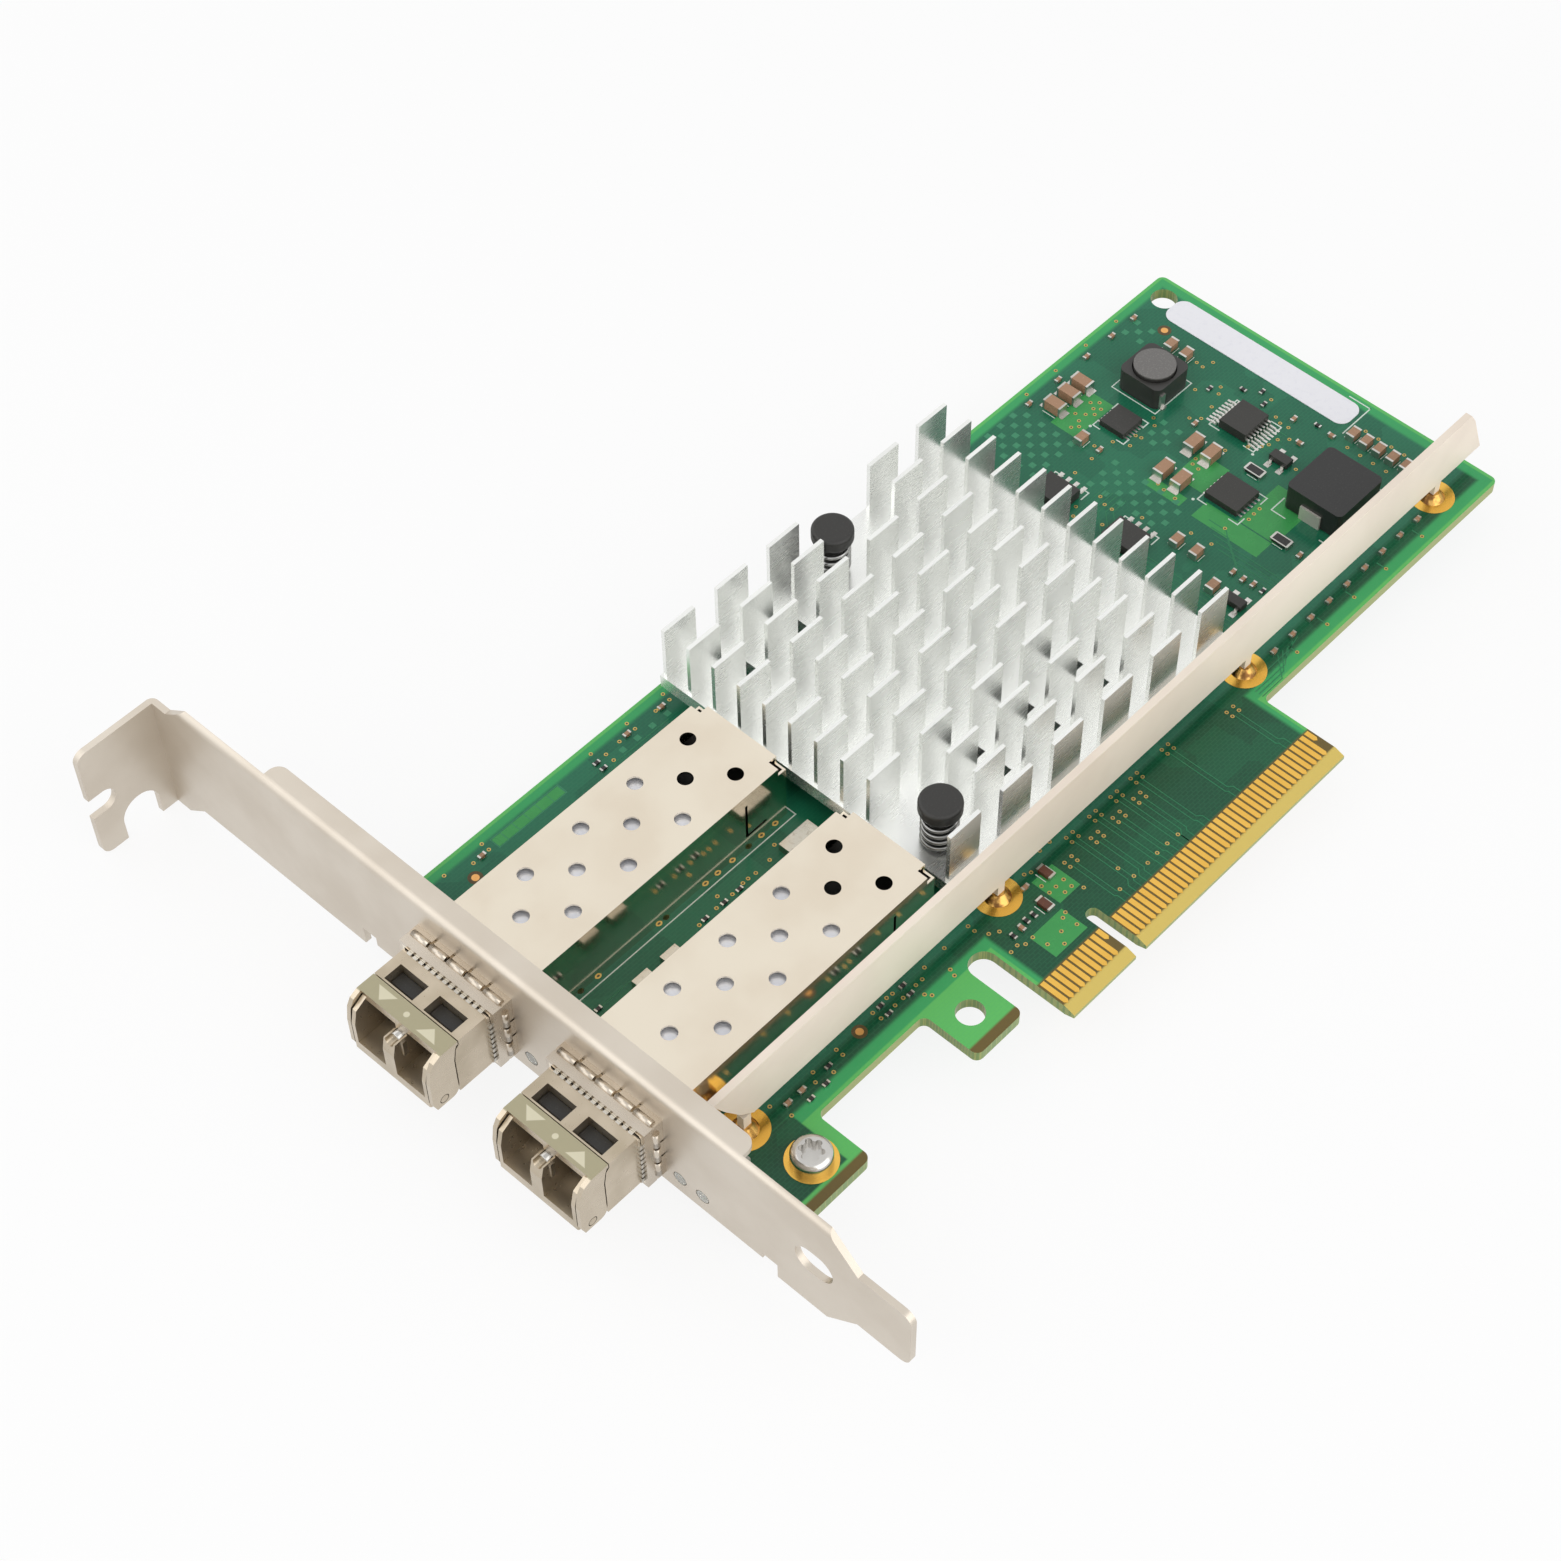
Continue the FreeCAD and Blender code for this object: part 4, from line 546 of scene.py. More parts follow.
# %% Lacquer, bare border and bevel
weave = board.node("TexBrick", None, {
    "Vector": place, "Scale": 1.0, "Mortar Size": 0.06, "Brick Width": 0.9, "Row Height": 0.45,
    "Color1": WHITE, "Color2": (0.7, 0.7, 0.7, 1), "Mortar": (0, 0, 0, 1)})
bare = board.mix(clouds, rgb(60, 168, 100), rgb(46, 154, 88))
bare = board.mix(clear_of_edge, rgb(92, 186, 96), bare)
lacquer = board.mix(copper_area, bare, copper_under)
lacquer = board.mix((1 - weave) * 0.10, lacquer, rgb(70, 160, 110))
bevel = board.mix(board.step(y, 1.5, 1.8), rgb(208, 184, 96), rgb(104, 88, 42))
lacquer = board.mix(1 - board.step(y, 5.5, 5.9), lacquer, bevel)
print("lacquer done")

# %% Flat faces against the cut edge
facing_out = board.node("NewGeometry", out="Normal")
flat = board.step(board.parts(facing_out)[2].size(), 0.75, 0.95)
core = board.mix(weave, rgb(150, 160, 92), rgb(112, 140, 78))
ridges = board.noise(place, 0.6, 3.0)
board_lacquer = board.surface(
    Base_Color=board.mix(flat, core, lacquer), Roughness=0.3 - flat * 0.1 + ridges * 0.06,
    Specular_IOR_Level=0.35, Normal=board.bump(ridges * 0.6 + weave * 0.1, 0.12, 0.02))
print("board lacquer has", len(board.tree.nodes), "nodes")

# %% [markdown]
# ## Dressing the solid model
# Each node of the solid model is one kind of part and wears one finish. The materials could be
# set by hand on every node; a table from part to finish does it in one go. Parts that come in
# twos, one for each port, end in _1 or _2 and share a line of the table.

# %% Finish of every part
WEAR = {
    "circuit_board": board_lacquer, "edge_contacts": contact_gold, "gold_pads": contact_gold,
    "bracket": bracket_nickel, "bracket_screw": screw_steel, "stiffener_rail": rail_nickel,
    "rail_solder": joint_solder, "cage": cage_nickel, "cage_collar": collar_steel,
    "cage_connector": cap_plastic, "port_lights": clear_guide, "label": label_paper,
    "module_body": zinc, "module_cover": inner_tin, "module_spring_ring": collar_steel,
    "module_optics": barrel_metal, "module_board": module_green,
    "heatsink": fins_aluminium, "push_pin": cap_plastic, "push_pin_spring": spring_wire,
    "controller_chip": package, "thermal_pad": thermal_gum,
    "driver_chip": chip_epoxy, "flash_chips": chip_epoxy, "transistors": chip_epoxy,
    "regulator_chips": chip_epoxy, "chip_leads": tinned, "chip_ends": tinned,
    "drum_inductor": ferrite, "drum_winding": winding_copper, "power_inductor": iron_core,
    "inductor_terminals": clip_tin, "large_capacitors": ceramic, "medium_capacitors": ceramic,
    "small_capacitors": ceramic, "small_resistors": resistor_glaze,
    "chip_resistors": resistor_glaze, "fuses": fuse_brown, "crystals": crystal_can,
}
for name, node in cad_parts.items():
    stem = name[:-2] if name[-2:] in ("_1", "_2") else name
    finish = latches[int(name[-1])] if stem == "module_bail" else WEAR[stem]
    for slot in node.material_slots:
        slot.material = finish
print("dressed", len(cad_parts), "nodes")

# %% [markdown]
# ## Inks and foils
# Tracks are copper under lacquer, a shade brighter than the board around them. White ink is dull,
# and plating round a hole is gold. All lie almost flat on the board, so their finishes need
# little more than a colour and a gloss.


# %% Lacquered copper, ink and plating
def lacquered(name, colour, other):
    """Copper under lacquer: a brighter green with the board's own gloss."""
    finish = Finish(name)
    clouds = finish.noise(finish.place(), 0.5)
    return finish.surface(Base_Color=finish.mix(clouds, colour, other),
                          Roughness=0.24 + clouds * 0.08, Specular_IOR_Level=0.35)


track_green = lacquered("track_green", rgb(40, 126, 84), rgb(34, 114, 76))
pour_green = lacquered("pour_green", rgb(66, 158, 84), rgb(54, 146, 78))
thieving_green = lacquered("thieving_green", rgb(62, 142, 104), rgb(54, 132, 96))
halo_brown = lacquered("halo_brown", rgb(96, 78, 44), rgb(80, 68, 42))
silk_white = speckled("silk_white", rgb(214, 226, 216), rgb(190, 206, 196),
                      rough=0.5, grain=3.0)
# Painted shade: the dark middles of the holes stand in for the shade inside them.
painted_hole_shade = speckled("painted_hole_shade", rgb(52, 66, 48), rgb(38, 48, 36), rough=0.4, grain=3.0)
via_gold = speckled("via_gold", rgb(206, 176, 104), rgb(180, 150, 84),
                    rough=0.3, grain=2.0, metal=0.8)
mark_copper = speckled("mark_copper", rgb(236, 176, 104), rgb(222, 158, 88),
                       rough=0.3, grain=2.0, metal=0.6)
print(len(bpy.data.materials), "materials in all")

# %% [markdown]
# ## Small things on the board
# Tracks, plated holes and printed lines are too fine for the solid model. A flat sheet with
# their pattern would be quicker, yet bars and rings stay sharp at any distance and catch real
# light. Each kind is one piece: flat bars, blocks or discs a few hundredths of a millimetre high,
# all lying on the lacquer. Every shape starts from a cube or a cone and is put in its place by a
# matrix, so a few helpers are enough.


# %% Bars between points
HAIR = 0.0015
OVERRUN = 0.49


def block(bm, start, end, turn=Matrix.Identity(4)):
    """A cube drawn out to the size from start to end, then turned about its middle."""
    size = Matrix.Diagonal((*((end - start) * MM), 1))
    middle = Matrix.Translation((start + end) / 2 * MM)
    bmesh.ops.create_cube(bm, size=1.0, matrix=middle @ turn @ size)


def patch(bm, x0, x1, y0, y1, low, high):
    """A flat block between two corners."""
    block(bm, Vector((x0, y0, low)), Vector((x1, y1, high)))


def bar(bm, start, end, wide, low, high):
    """A flat bar between two points of the board, about half its width longer at each end."""
    a, b = Vector(start), Vector(end)
    half = Vector(((b - a).length / 2 + wide * OVERRUN, wide / 2))
    middle = (a + b) / 2
    turn = Matrix.Rotation(math.atan2(b.y - a.y, b.x - a.x), 4, "Z")
    block(bm, Vector((*(middle - half), low)), Vector((*(middle + half), high)), turn)


def line(bm, points, wide, low, high):
    """Bars from point to point, each second one a hair lower so that no two tops share a plane."""
    for number, (start, end) in enumerate(zip(points, points[1:])):
        bar(bm, start, end, wide, low, high - HAIR * (number % 2))


def outline(bm, x0, x1, y0, y1, wide, low, high):
    """Four bars round a rectangle."""
    line(bm, [(x0, y0), (x1, y0), (x1, y1), (x0, y1), (x0, y0)], wide, low, high)


print("bars and blocks ready")


# %% Discs, and the end of a piece
def disc(bm, x, y, radius, low, high, sides=12, finish=0):
    """A flat disc standing on the board."""
    place = Matrix.Translation(Vector((x, y, (low + high) / 2)) * MM)
    made = bmesh.ops.create_cone(bm, cap_ends=True, segments=sides, radius1=radius * MM,
                                 radius2=radius * MM, depth=(high - low) * MM, matrix=place)
    for face in {face for vert in made["verts"] for face in vert.link_faces}:
        face.material_index = finish


def finish_piece(name, bm, finishes, body="card"):
    """Turns the mesh into a piece that rides on a body and takes its finish from a slot."""
    mesh = bpy.data.meshes.new(name)
    bmesh.ops.recalc_face_normals(bm, faces=bm.faces[:])
    bm.to_mesh(mesh)
    bm.free()
    for finish in finishes:
        mesh.materials.append(finish)
    piece = bpy.data.objects.new(name, mesh)
    bpy.context.collection.objects.link(piece)
    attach(piece, body)
    print(name, len(mesh.polygons), "faces")


print("discs ready")

# %% [markdown]
# ## Plated holes
# Every gold speck is a ring with a filled middle, painted dark as the shade of the hole. They
# gather in pairs above the tongue, in clouds round the power parts and in a row of larger ones
# between the cages. Real holes could be cut through the board, but hundreds of cuts would swamp it
# with faces. So each is a disc with its top face inset once: the rim stays gold and the middle is
# painted hole shade.

# %% Where the holes lie, as x and y in millimetres
HOLES = [
    (77.8, 67.8), (71.5, 67.9), (65.1, 67.8), (59.1, 67.8), (63.7, 60.6), (64.5, 59.7),
    (63.1, 59.6), (63.7, 58.8), (60.8, 60.8), (61.6, 59.7), (62.4, 58.8), (60.1, 59.6),
    (58.5, 59.6), (59.3, 58.9), (58.6, 57.1), (58.0, 55.2), (56.0, 54.0), (60.2, 53.9),
    (61.2, 51.8), (63.1, 52.4), (63.3, 51.6), (67.2, 52.7), (66.2, 51.7), (52.6, 54.0),
    (75.0, 51.9), (79.1, 54.9), (79.0, 53.8), (80.6, 53.3), (76.5, 49.1), (77.7, 49.7),
    (74.0, 48.3), (71.4, 48.0), (70.4, 49.2), (80.4, 43.3), (78.3, 40.9), (77.8, 39.8),
    (77.9, 38.5), (75.2, 38.2), (76.3, 37.1), (73.7, 38.5), (72.8, 39.0), (71.5, 40.3),
    (72.6, 33.2), (61.5, 32.3), (62.7, 32.4), (63.9, 32.4), (58.2, 33.6), (54.6, 36.3),
    (54.9, 33.2), (-15.4, 17.0), (-19.0, 16.9), (-20.4, 16.0), (-21.5, 16.0), (-17.2, 14.5),
    (-17.5, 13.6), (-21.8, 14.4), (-21.3, 13.7), (-25.2, 15.9), (-23.8, 15.9), (-24.2, 17.2),
    (-25.1, 17.3), (-27.7, 17.1), (-27.6, 15.9), (-34.2, 16.8), (-34.2, 15.8), (-36.6, 15.0),
    (-38.2, 16.7), (-39.0, 15.6), (-44.8, 17.2), (-44.0, 14.6), (-11.2, 17.0), (4.6, 17.9),
    (2.8, 17.9), (-1.5, 18.3), (-0.3, 16.6), (-1.1, 17.0), (1.5, 13.1), (1.4, 11.8), (0.1, 13.1),
    (-1.0, 14.4), (-1.1, 13.1), (0.2, 11.8), (2.2, 10.6), (7.1, 9.4), (7.5, 7.3), (4.9, 7.3),
    (10.1, 7.3), (12.0, 7.4), (13.9, 7.4), (15.8, 7.3), (-11.2, 16.0), (-10.4, 14.5), (-9.3, 13.8),
    (-9.4, 11.0), (-8.6, 10.4), (-10.6, 10.9), (51.6, 48.9), (50.9, 47.6), (50.9, 46.4),
    (48.0, 45.6), (52.4, 42.6), (48.1, 50.1), (46.6, 49.3), (65.2, 44.0), (69.0, 42.1),
    (64.2, 43.7), (58.4, 44.8), (58.1, 43.6), (57.9, 41.6), (64.0, 42.6), (-10.2, 67.5),
    (-10.3, 66.3), (-12.7, 66.3), (-16.5, 67.5), (-19.1, 66.2), (-16.4, 66.2), (-22.8, 67.4),
    (-21.6, 66.0), (-21.6, 64.7), (-41.1, 67.3), (-41.1, 66.1), (-43.7, 66.0), (-47.3, 67.2),
    (-7.3, 10.4), (-6.9, 8.5), (-5.5, 7.1), (-4.4, 8.5), (-2.4, 7.8), (-2.8, 9.6), (-2.0, 9.9),
    (66.7, 14.2), (60.1, 14.3), (54.2, 14.1), (48.0, 14.1), (50.2, 22.6), (74.3, 14.1),
    (-17.8, 41.7), (-19.8, 40.6), (-22.3, 40.5), (-23.5, 40.6), (-24.4, 40.6), (-26.4, 40.4),
    (-27.8, 41.5), (-29.1, 40.4), (-32.2, 40.2)]
PAIRS_HIGH = [25.1, 19.1, 15.3, 11.3, 7.0]
PAIRS_LOW = [17.0, 13.1, 9.0, 4.1, 35.1]
for middle in PAIRS_HIGH:
    HOLES += [(middle + dx, y) for dx in (-0.6, 0.6) for y in (15.9, 16.8)]
for middle in PAIRS_LOW:
    HOLES += [(middle + dx, y) for dx in (-0.65, 0.65) for y in (13.7, 14.6)]
HOLES += [(46.6 + 1.25 * i, 19.3 + 0.5 * (i % 2)) for i in range(26)]
HOLES += [(x, 22.2 + 2.1 * i) for x in (84.3, 80.3) for i in range(5)]
BIG_HOLES = [(x, 43.96) for x in (-15.4, -17.8, -22.8, -25.3, -27.4, -35.2, -45.2)]
print(len(HOLES), "small and", len(BIG_HOLES), "large holes")


# %% Rings with dark middles
RING_HIGH = 0.03


def rings(name, places, radius, rim, sides):
    """Plated holes at every place, gold at the rim and painted dark inside as the hole's shade."""
    bm = bmesh.new()
    for x, y in places:
        disc(bm, x, y, radius, 0.0, RING_HIGH, sides)
    tops = [face for face in bm.faces if face.normal.z > 0.9]
    bmesh.ops.inset_individual(bm, faces=tops, thickness=rim * MM)
    for face in tops:
        face.material_index = 1
    finish_piece(name, bm, [via_gold, painted_hole_shade])


rings("plated_holes", HOLES, radius=0.27, rim=0.13, sides=10)
rings("row_of_large_holes", BIG_HOLES, radius=0.5, rim=0.2, sides=16)

# %% [markdown]
# ## Tracks
# Fast signals run in pairs from the holes down to the contacts, bending at 45 degrees. Slower
# ones cross the board in loose bundles. A router would draw each from its own list of corners,
# but the tracks of a bundle repeat the same corners a step apart, so short loops lay them all.

# %% Pairs down to the contacts
TRACK = (0.0, 0.012)
BEND_END, TRACK_END, PAIR_HALF = 6.9, 5.8, 0.35
bm = bmesh.new()
for middle in PAIRS_HIGH + PAIRS_LOW:
    start = 15.7 if middle in PAIRS_HIGH else 13.5
    goal = round(middle - 0.5) + 0.5
    for side in (-1, 1):
        x, bend = middle + side * PAIR_HALF, goal + side * 0.5
        drop = BEND_END + abs(bend - x)
        line(bm, [(x, start), (x, drop), (bend, BEND_END), (bend, TRACK_END)], 0.12, *TRACK)
print(len(bm.faces), "faces in pairs")

# %% Bundles across the board
for i in range(6):
    x, shift = 44.2 + 0.7 * i, 0.7 * i
    line(bm, [(x, 22.0), (x, 46.5 - shift), (x + 3.0, 49.5 - shift),
              (x + 9.0 - shift, 49.5 - shift)], 0.14, *TRACK)
for i in range(5):
    x = 53.0 + 0.8 * i
    line(bm, [(x, 21.2), (x, 27.4 + i), (x + 1.8, 29.2 + i), (x + 1.8, 32.0 + i)], 0.14, *TRACK)
for i in range(4):
    y = 38.2 + 0.8 * i
    line(bm, [(-52.5, y), (-40.0 - i, y), (-38.8 - i, y - 1.2), (-17.0, y - 1.2)], 0.14, *TRACK)
for i in range(4):
    y = 60.4 + 0.9 * i
    line(bm, [(-50.0, y), (-26.0 + i, y), (-24.8 + i, y + 1.2), (-12.5, y + 1.2)], 0.14, *TRACK)
for i in range(5):
    y = 12.9 + 0.55 * i
    line(bm, [(46.0 + i, 15.6), (43.4 + i, y), (39.5, y)], 0.14, *TRACK)
print(len(bm.faces), "faces with bundles")

# %% Short ends at holes and legs
for x in (48.0, 54.2, 60.1, 66.7, 74.3):
    line(bm, [(x, 14.2), (x, 15.6)], 0.18, *TRACK)
for i in range(8):
    x, longer = 72.06 + 0.64 * i, 0.3 * (i % 3)
    line(bm, [(x, 39.6), (x, 38.2 - longer)], 0.16, *TRACK)
    line(bm, [(x, 46.2), (x, 47.2 + longer)], 0.16, *TRACK)
finish_piece("tracks", bm, [track_green])

# %% [markdown]
# ## Pours and chequers
# Pours are plain patches of copper around the power parts, and the chequered fields are copper
# left in place only to keep the plating even. Both could be spots in the board's material, but as
# thin blocks they keep their edges, and where two meet, a slightly different height for each
# keeps their tops from flickering through one another.

# %% Pours
POURS = ((57.4, 65.3, 57.9, 62.2), (61.0, 66.6, 39.4, 44.3), (57.0, 60.2, 27.6, 38.2),
         (60.4, 68.9, 27.2, 33.2), (57.2, 59.0, 40.4, 46.4), (-1.4, 2.3, 11.2, 15.6),
         (-7.6, -1.9, 6.6, 10.6))
bm = bmesh.new()
for number, corners in enumerate(POURS):
    patch(bm, *corners, 0.0, 0.006 + 0.0006 * number)
patch(bm, -39.9, -29.0, 65.5, 66.9, 0.0, 0.005)
finish_piece("copper_pours", bm, [pour_green])

# %% Comb at the far edge
bm = bmesh.new()
outline(bm, -40.0, -28.8, 65.4, 67.0, 0.1, *TRACK)
for i in range(6):
    patch(bm, -38.5 + 1.9 * i, -38.4 + 1.9 * i, 65.4, 67.0, 0.0, 0.01)
for x in (-12.0, -14.6, -17.2, -19.7):
    patch(bm, x - 0.4, x + 0.4, 64.6, 65.4, 0.0, 0.011)
finish_piece("copper_comb", bm, [thieving_green])

# %% Chequered fields
# A point that the chequers count from, and the corners that they stay within.
FIELDS = (((52.4, 61.5), (47.8, 57.2, 57.3, 66.8)), ((55.0, 51.3), (52.0, 58.0, 39.6, 52.0)),
          ((66.2, 49.9), (63.4, 67.6, 48.6, 51.4)), ((78.3, 64.3), (75.9, 80.6, 62.6, 65.8)),
          ((-16.0, 61.0), (-22.6, -12.4, 59.8, 62.4)))
CHEQUER_PITCH, CHEQUER_HALF = 1.27, 0.42
bm = bmesh.new()
for (x, y), (x0, x1, y0, y1) in FIELDS:
    for column in range(-8, 9):
        for row in range(-12, 13):
            u, v = x + CHEQUER_PITCH * column, y + CHEQUER_PITCH * row
            if (column + row) % 2 == 0 and x0 < u < x1 and y0 < v < y1:
                patch(bm, u - CHEQUER_HALF, u + CHEQUER_HALF,
                      v - CHEQUER_HALF, v + CHEQUER_HALF, 0.0, 0.01)
finish_piece("plating_chequers", bm, [thieving_green])

# %% [markdown]
# ## Solder on the pads
# Solder leaves a bright hem around every leg and at both ends of the large parts. A true fillet
# would curve up each leg, but from a hand's distance only its bright edge shows. So flat tinned
# patches lie under each leg or end, a little longer than it, and they come in pairs because the
# parts have two equal sides.


# %% Pairs of tinned patches
def pads(bm, middle, reach, half, high, low=0.0):
    """Two equal patches at a reach to either side of a middle, each given by its half sizes."""
    for side in (-1, 1):
        x, y = middle[0] + side * reach[0], middle[1] + side * reach[1]
        patch(bm, x - half[0], x + half[0], y - half[1], y + half[1], low, high)


bm = bmesh.new()
for step in range(8):
    pads(bm, (74.2 + 0.65 * (step - 3.5), 43.2), (0, -3.5), (0.17, 0.8), 0.05)
for x, y in ((47.6, 53.2), (47.7, 41.6)):
    for step in range(4):
        pads(bm, (x, y + 1.27 * (step - 1.5)), (3.3, 0), (0.65, 0.3), 0.05)
print(len(bm.faces), "faces under the legs of chips")

# %% Hems of capacitors, regulators and the drum inductor
for spot in ((66.6, 45.5), (66.6, 42.6), (60.3, 45.5), (60.3, 42.6)):
    pads(bm, spot, (1.6, 0), (0.35, 0.8), 0.08)
for x in (62.4, 65.1, 59.5):
    pads(bm, (x, 63.3), (0, 1.6), (0.8, 0.35), 0.08)
for x, y, reach, pitch in ((63.4, 55.2, 2.0, 0.6), (63.1, 36.4, 2.6, 0.75)):
    for step in range(6):
        pads(bm, (x + pitch * (step - 2.5), y), (0, reach), (0.15, 0.55), 0.06)
patch(bm, 68.9, 69.8, 52.95, 53.3, 0.2, 2.4)
patch(bm, 68.9, 69.8, 52.6, 53.3, 0.0, 0.3)
print(len(bm.faces), "faces with hems")

# %% Ends of resistors and legs of transistors
for spot in ((68.5, 36.8), (61.2, 26.8)):
    pads(bm, spot, (0.66, 0), (0.09, 1.3), 0.57, 0.5)
for x, y in ((72.3, 35.5), (48.9, 24.8)):
    for shift in (-0.95, 0.95):
        pads(bm, (x, y + shift), (1.5, 0), (0.5, 0.4), 0.06)
finish_piece("tinned_pads", bm, [tinned])

# %% [markdown]
# ## Printed lines
# White ink outlines the parts, and only plain outlines, bars and dots are drawn. Curves turned
# into meshes could carry the ink too, but straight bars are all that it needs: corners round the
# chips, with a dot that marks a chip's turn, and two short bars beside the small parts.

# %% Outlines and chip corners
INK = (0.0, 0.02)
CORNER_SHARE = 0.22
bm = bmesh.new()
outline(bm, -52.6, -12.75, 42.95, 44.8, 0.16, *INK)
outline(bm, -52.6, -18.6, 36.1, 36.7, 0.16, *INK)
for x, y, along, across in (
        (63.4, 55.2, 5.2, 5.2), (62.9, 36.1, 6.2, 6.6), (74.3, 42.9, 6.0, 7.4),
        (47.6, 53.2, 6.9, 5.6), (47.7, 41.6, 6.9, 5.6), (71.0, 26.2, 12.4, 10.0)):
    for sx in (-1, 1):
        for sy in (-1, 1):
            cx, cy = x + sx * along / 2, y + sy * across / 2
            line(bm, [(cx - sx * along * CORNER_SHARE, cy), (cx, cy),
                      (cx, cy - sy * across * CORNER_SHARE)], 0.18, *INK)
for x, y in ((60.4, 57.9), (59.4, 39.8), (70.9, 39.0), (44.0, 56.2), (44.1, 44.6)):
    disc(bm, x, y, 0.22, *INK)
outline(bm, 67.9, 75.6, 53.0, 60.4, 0.16, *INK)
line(bm, [(88.0, 32.6), (88.0, 36.0)], 0.18, *INK)
line(bm, [(82.0, 32.6), (88.0, 32.6)], 0.18, *INK)
print(len(bm.faces), "faces in outlines")

# %% Bars beside the small parts
for places, long, wide in ((((62.4, 63.3), (65.1, 63.3), (59.5, 63.3)), 1.0, 1.2),
                           (((0.7, 15.2), (-2.9, 12.3), (68.5, 36.6), (61.2, 26.8)), 0.75, 0.9)):
    for x, y in places:
        for side in (-1, 1):
            line(bm, [(x + side * wide, y - long), (x + side * wide, y + long)], 0.12, *INK)
for x, y in ((52.0, 36.6), (52.1, 33.5), (78.9, 59.2), (78.9, 56.6), (82.3, 31.2), (82.3, 29.1),
             (82.3, 27.0), (82.3, 24.8), (82.3, 22.6), (57.5, 57.0), (49.0, 28.4)):
    for side in (-1, 1):
        line(bm, [(x - 0.7, y + side * 0.85), (x + 0.7, y + side * 0.85)], 0.1, *INK)
finish_piece("printed_lines", bm, [silk_white])

# %% [markdown]
# ## Springs and clips of the two ports
# The collar that earths each cage is a strip of spring fingers rolled over at the root, and the
# module's own ring is a fine ladder of bent rungs. A bent strip swept along a curve would give
# them in full, but only their humps show, so short half-buried rods make the rolls, one to a
# finger, and small blocks make the rungs.


# %% Rolls of the collar
COLLAR_X, FINGER_PITCH, ROLL_LONG, SUNK = -59.5, 2.9, 2.55, 0.1
TURNS = {"x": Matrix.Rotation(math.pi / 2, 4, "Y"), "y": Matrix.Rotation(math.pi / 2, 4, "X"),
         "z": Matrix.Identity(4)}


def rod(bm, place, length, radius, axis, sides=14):
    """A round rod lying along one axis, with its middle at a place."""
    made = bmesh.ops.create_cone(
        bm, cap_ends=True, segments=sides, radius1=radius * MM, radius2=radius * MM,
        depth=length * MM, matrix=Matrix.Translation(Vector(place) * MM) @ TURNS[axis])
    for face in {face for vert in made["verts"] for face in vert.link_faces}:
        face.smooth = len(face.verts) == 4


def collar_rolls(number, port, top, edge):
    """Five rolls over the top of one collar and three down each side."""
    bm = bmesh.new()
    for step in range(5):
        rod(bm, (COLLAR_X, port + FINGER_PITCH * (step - 2), top), ROLL_LONG, 0.5, "y")
    for side in (-1, 1):
        for step in range(3):
            rod(bm, (COLLAR_X, port + side * edge, 1.8 + FINGER_PITCH * step), ROLL_LONG, 0.5, "z")
    finish_piece(f"collar_rolls_{number}", bm, [collar_steel])


print("rolls ready")

# %% Rungs of the module's ring
RING_X0, RING_X1, RUNG_PITCH = -61.62, -61.22, 0.95


def ladder_rungs(number, port):
    """A row of rungs over one module's ring and a row down each side."""
    bm = bmesh.new()
    for step in range(13):
        y = port + RUNG_PITCH * (step - 6)
        patch(bm, RING_X0, RING_X1, y - 0.3, y + 0.3, 9.1, 9.5)
    for side in (-1, 1):
        for step in range(8):
            y, z = port + side * 6.9, 1.1 + RUNG_PITCH * step
            patch(bm, RING_X0, RING_X1, y - 0.25, y + 0.25, z - 0.3, z + 0.3)
    finish_piece(f"ladder_rungs_{number}", bm, [tinned])


print("rungs ready")
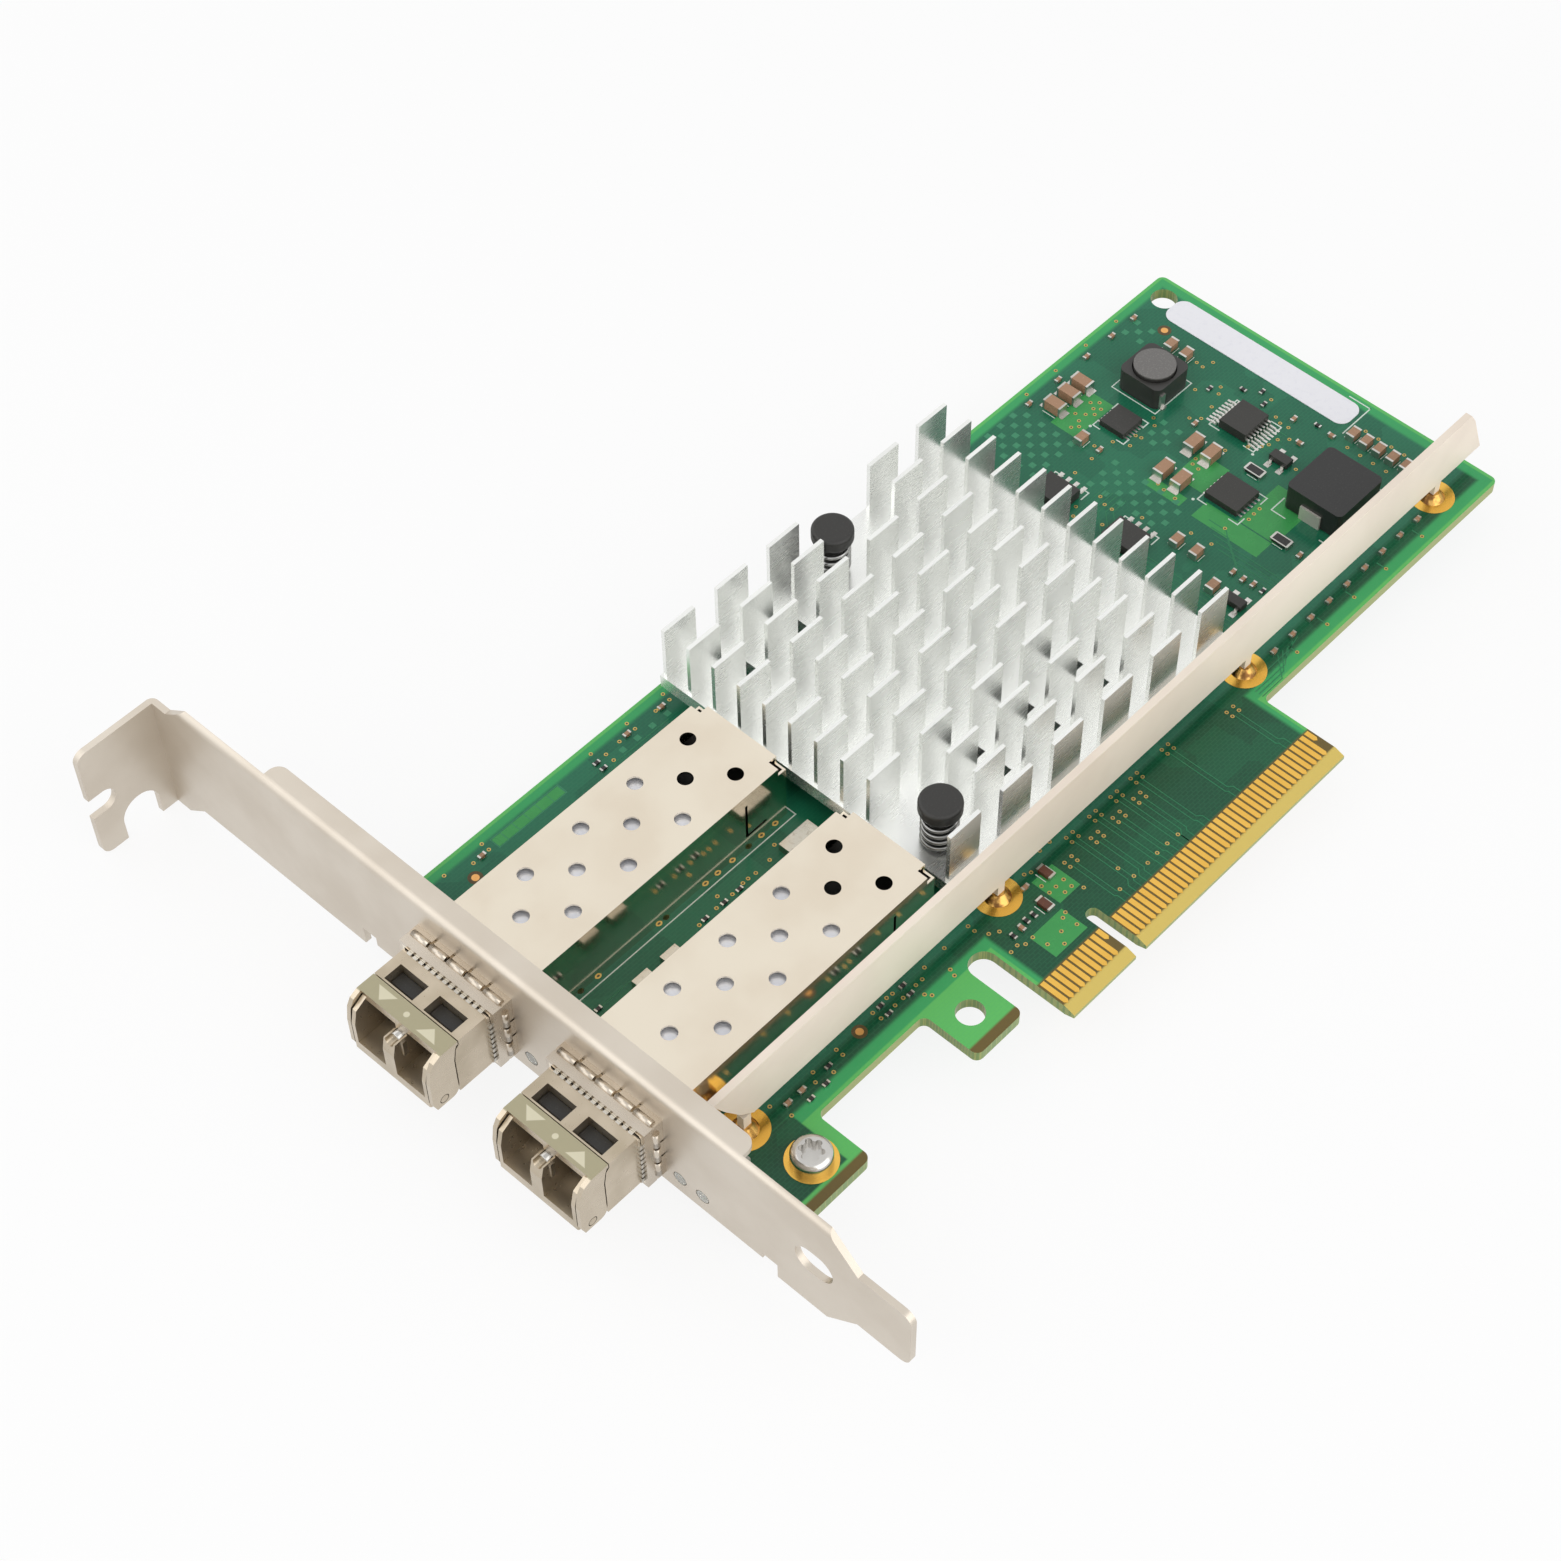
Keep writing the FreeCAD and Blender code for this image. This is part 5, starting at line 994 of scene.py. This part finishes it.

# %% [markdown]
# ## Plug clips and black plates of painted shade in the windows
# Behind each latch a rounded bright clip holds the two fibre plugs apart, and black plates stand
# in the small windows as painted shade. The clip is a short rod on two thin legs, with its sharp
# rims bevelled, since a bright edge without a bevel never glints.


# %% Clip between the fibre plugs
def plug_clip(number, port):
    """The rounded clip of one port, on its two thin legs."""
    bm = bmesh.new()
    rod(bm, (-68.0, port, 6.9), 2.6, 0.78, "x", 20)
    for side in (-1, 1):
        leg = port + side * 0.95
        patch(bm, -69.2, -68.6, leg - 0.12, leg + 0.12, 4.4, 6.9)
    rims = [edge for edge in bm.edges if len(edge.link_faces[0].verts) > 8]
    bmesh.ops.bevel(bm, geom=rims, offset=0.1 * MM, segments=2, profile=0.5, affect="EDGES",
                    material=-1)
    finish_piece(f"plug_clip_{number}", bm, [screw_steel])


print("clip ready")


# %% Black plates of painted shade in the windows, and both ports in turn
def window_shade_plates(number, port):
    """One black plate in each of the two windows of a port, painted shade inside the window."""
    bm = bmesh.new()
    for side in (-1, 1):
        near, far = sorted((port + side * 1.0, port + side * 5.3))
        patch(bm, -64.75, -63.05, near, far, 6.4, 7.85)
    finish_piece(f"window_shade_plates_{number}", bm, [cap_plastic])


for number in (1, 2):
    low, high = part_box(f"cage_collar_{number}")
    port = (low.y + high.y) / 2 / MM
    collar_rolls(number, port, high.z / MM - SUNK, (high.y - low.y) / 2 / MM - SUNK)
    ladder_rungs(number, port)
    plug_clip(number, port)
    window_shade_plates(number, port)

# %% [markdown]
# ## Marks for the placing machine
# Three copper dots, each in a brown ring of bare laminate, tell the machine where the board lies.
# A ring could be cut out of a disc, but a smaller, higher disc laid on a wide one looks the same.

# %% Sighting marks
bm = bmesh.new()
for x, y in ((-45.0, 64.3), (-30.6, 16.5), (80.9, 61.9)):
    disc(bm, x, y, 0.95, *TRACK, sides=24, finish=1)
    disc(bm, x, y, 0.5, 0.0, RING_HIGH, sides=20)
finish_piece("sighting_marks", bm, [mark_copper, halo_brown])

# %% [markdown]
# ## The box of the solid model
# The dressed card must be no larger than the solid one. A look through the lens would miss a part
# that sticks out behind, so the box of the solid model is written out in millimetres.

# %% Print the solid box
print("solid", [round(v / MM, 2) for corner in solid_box for v in corner])
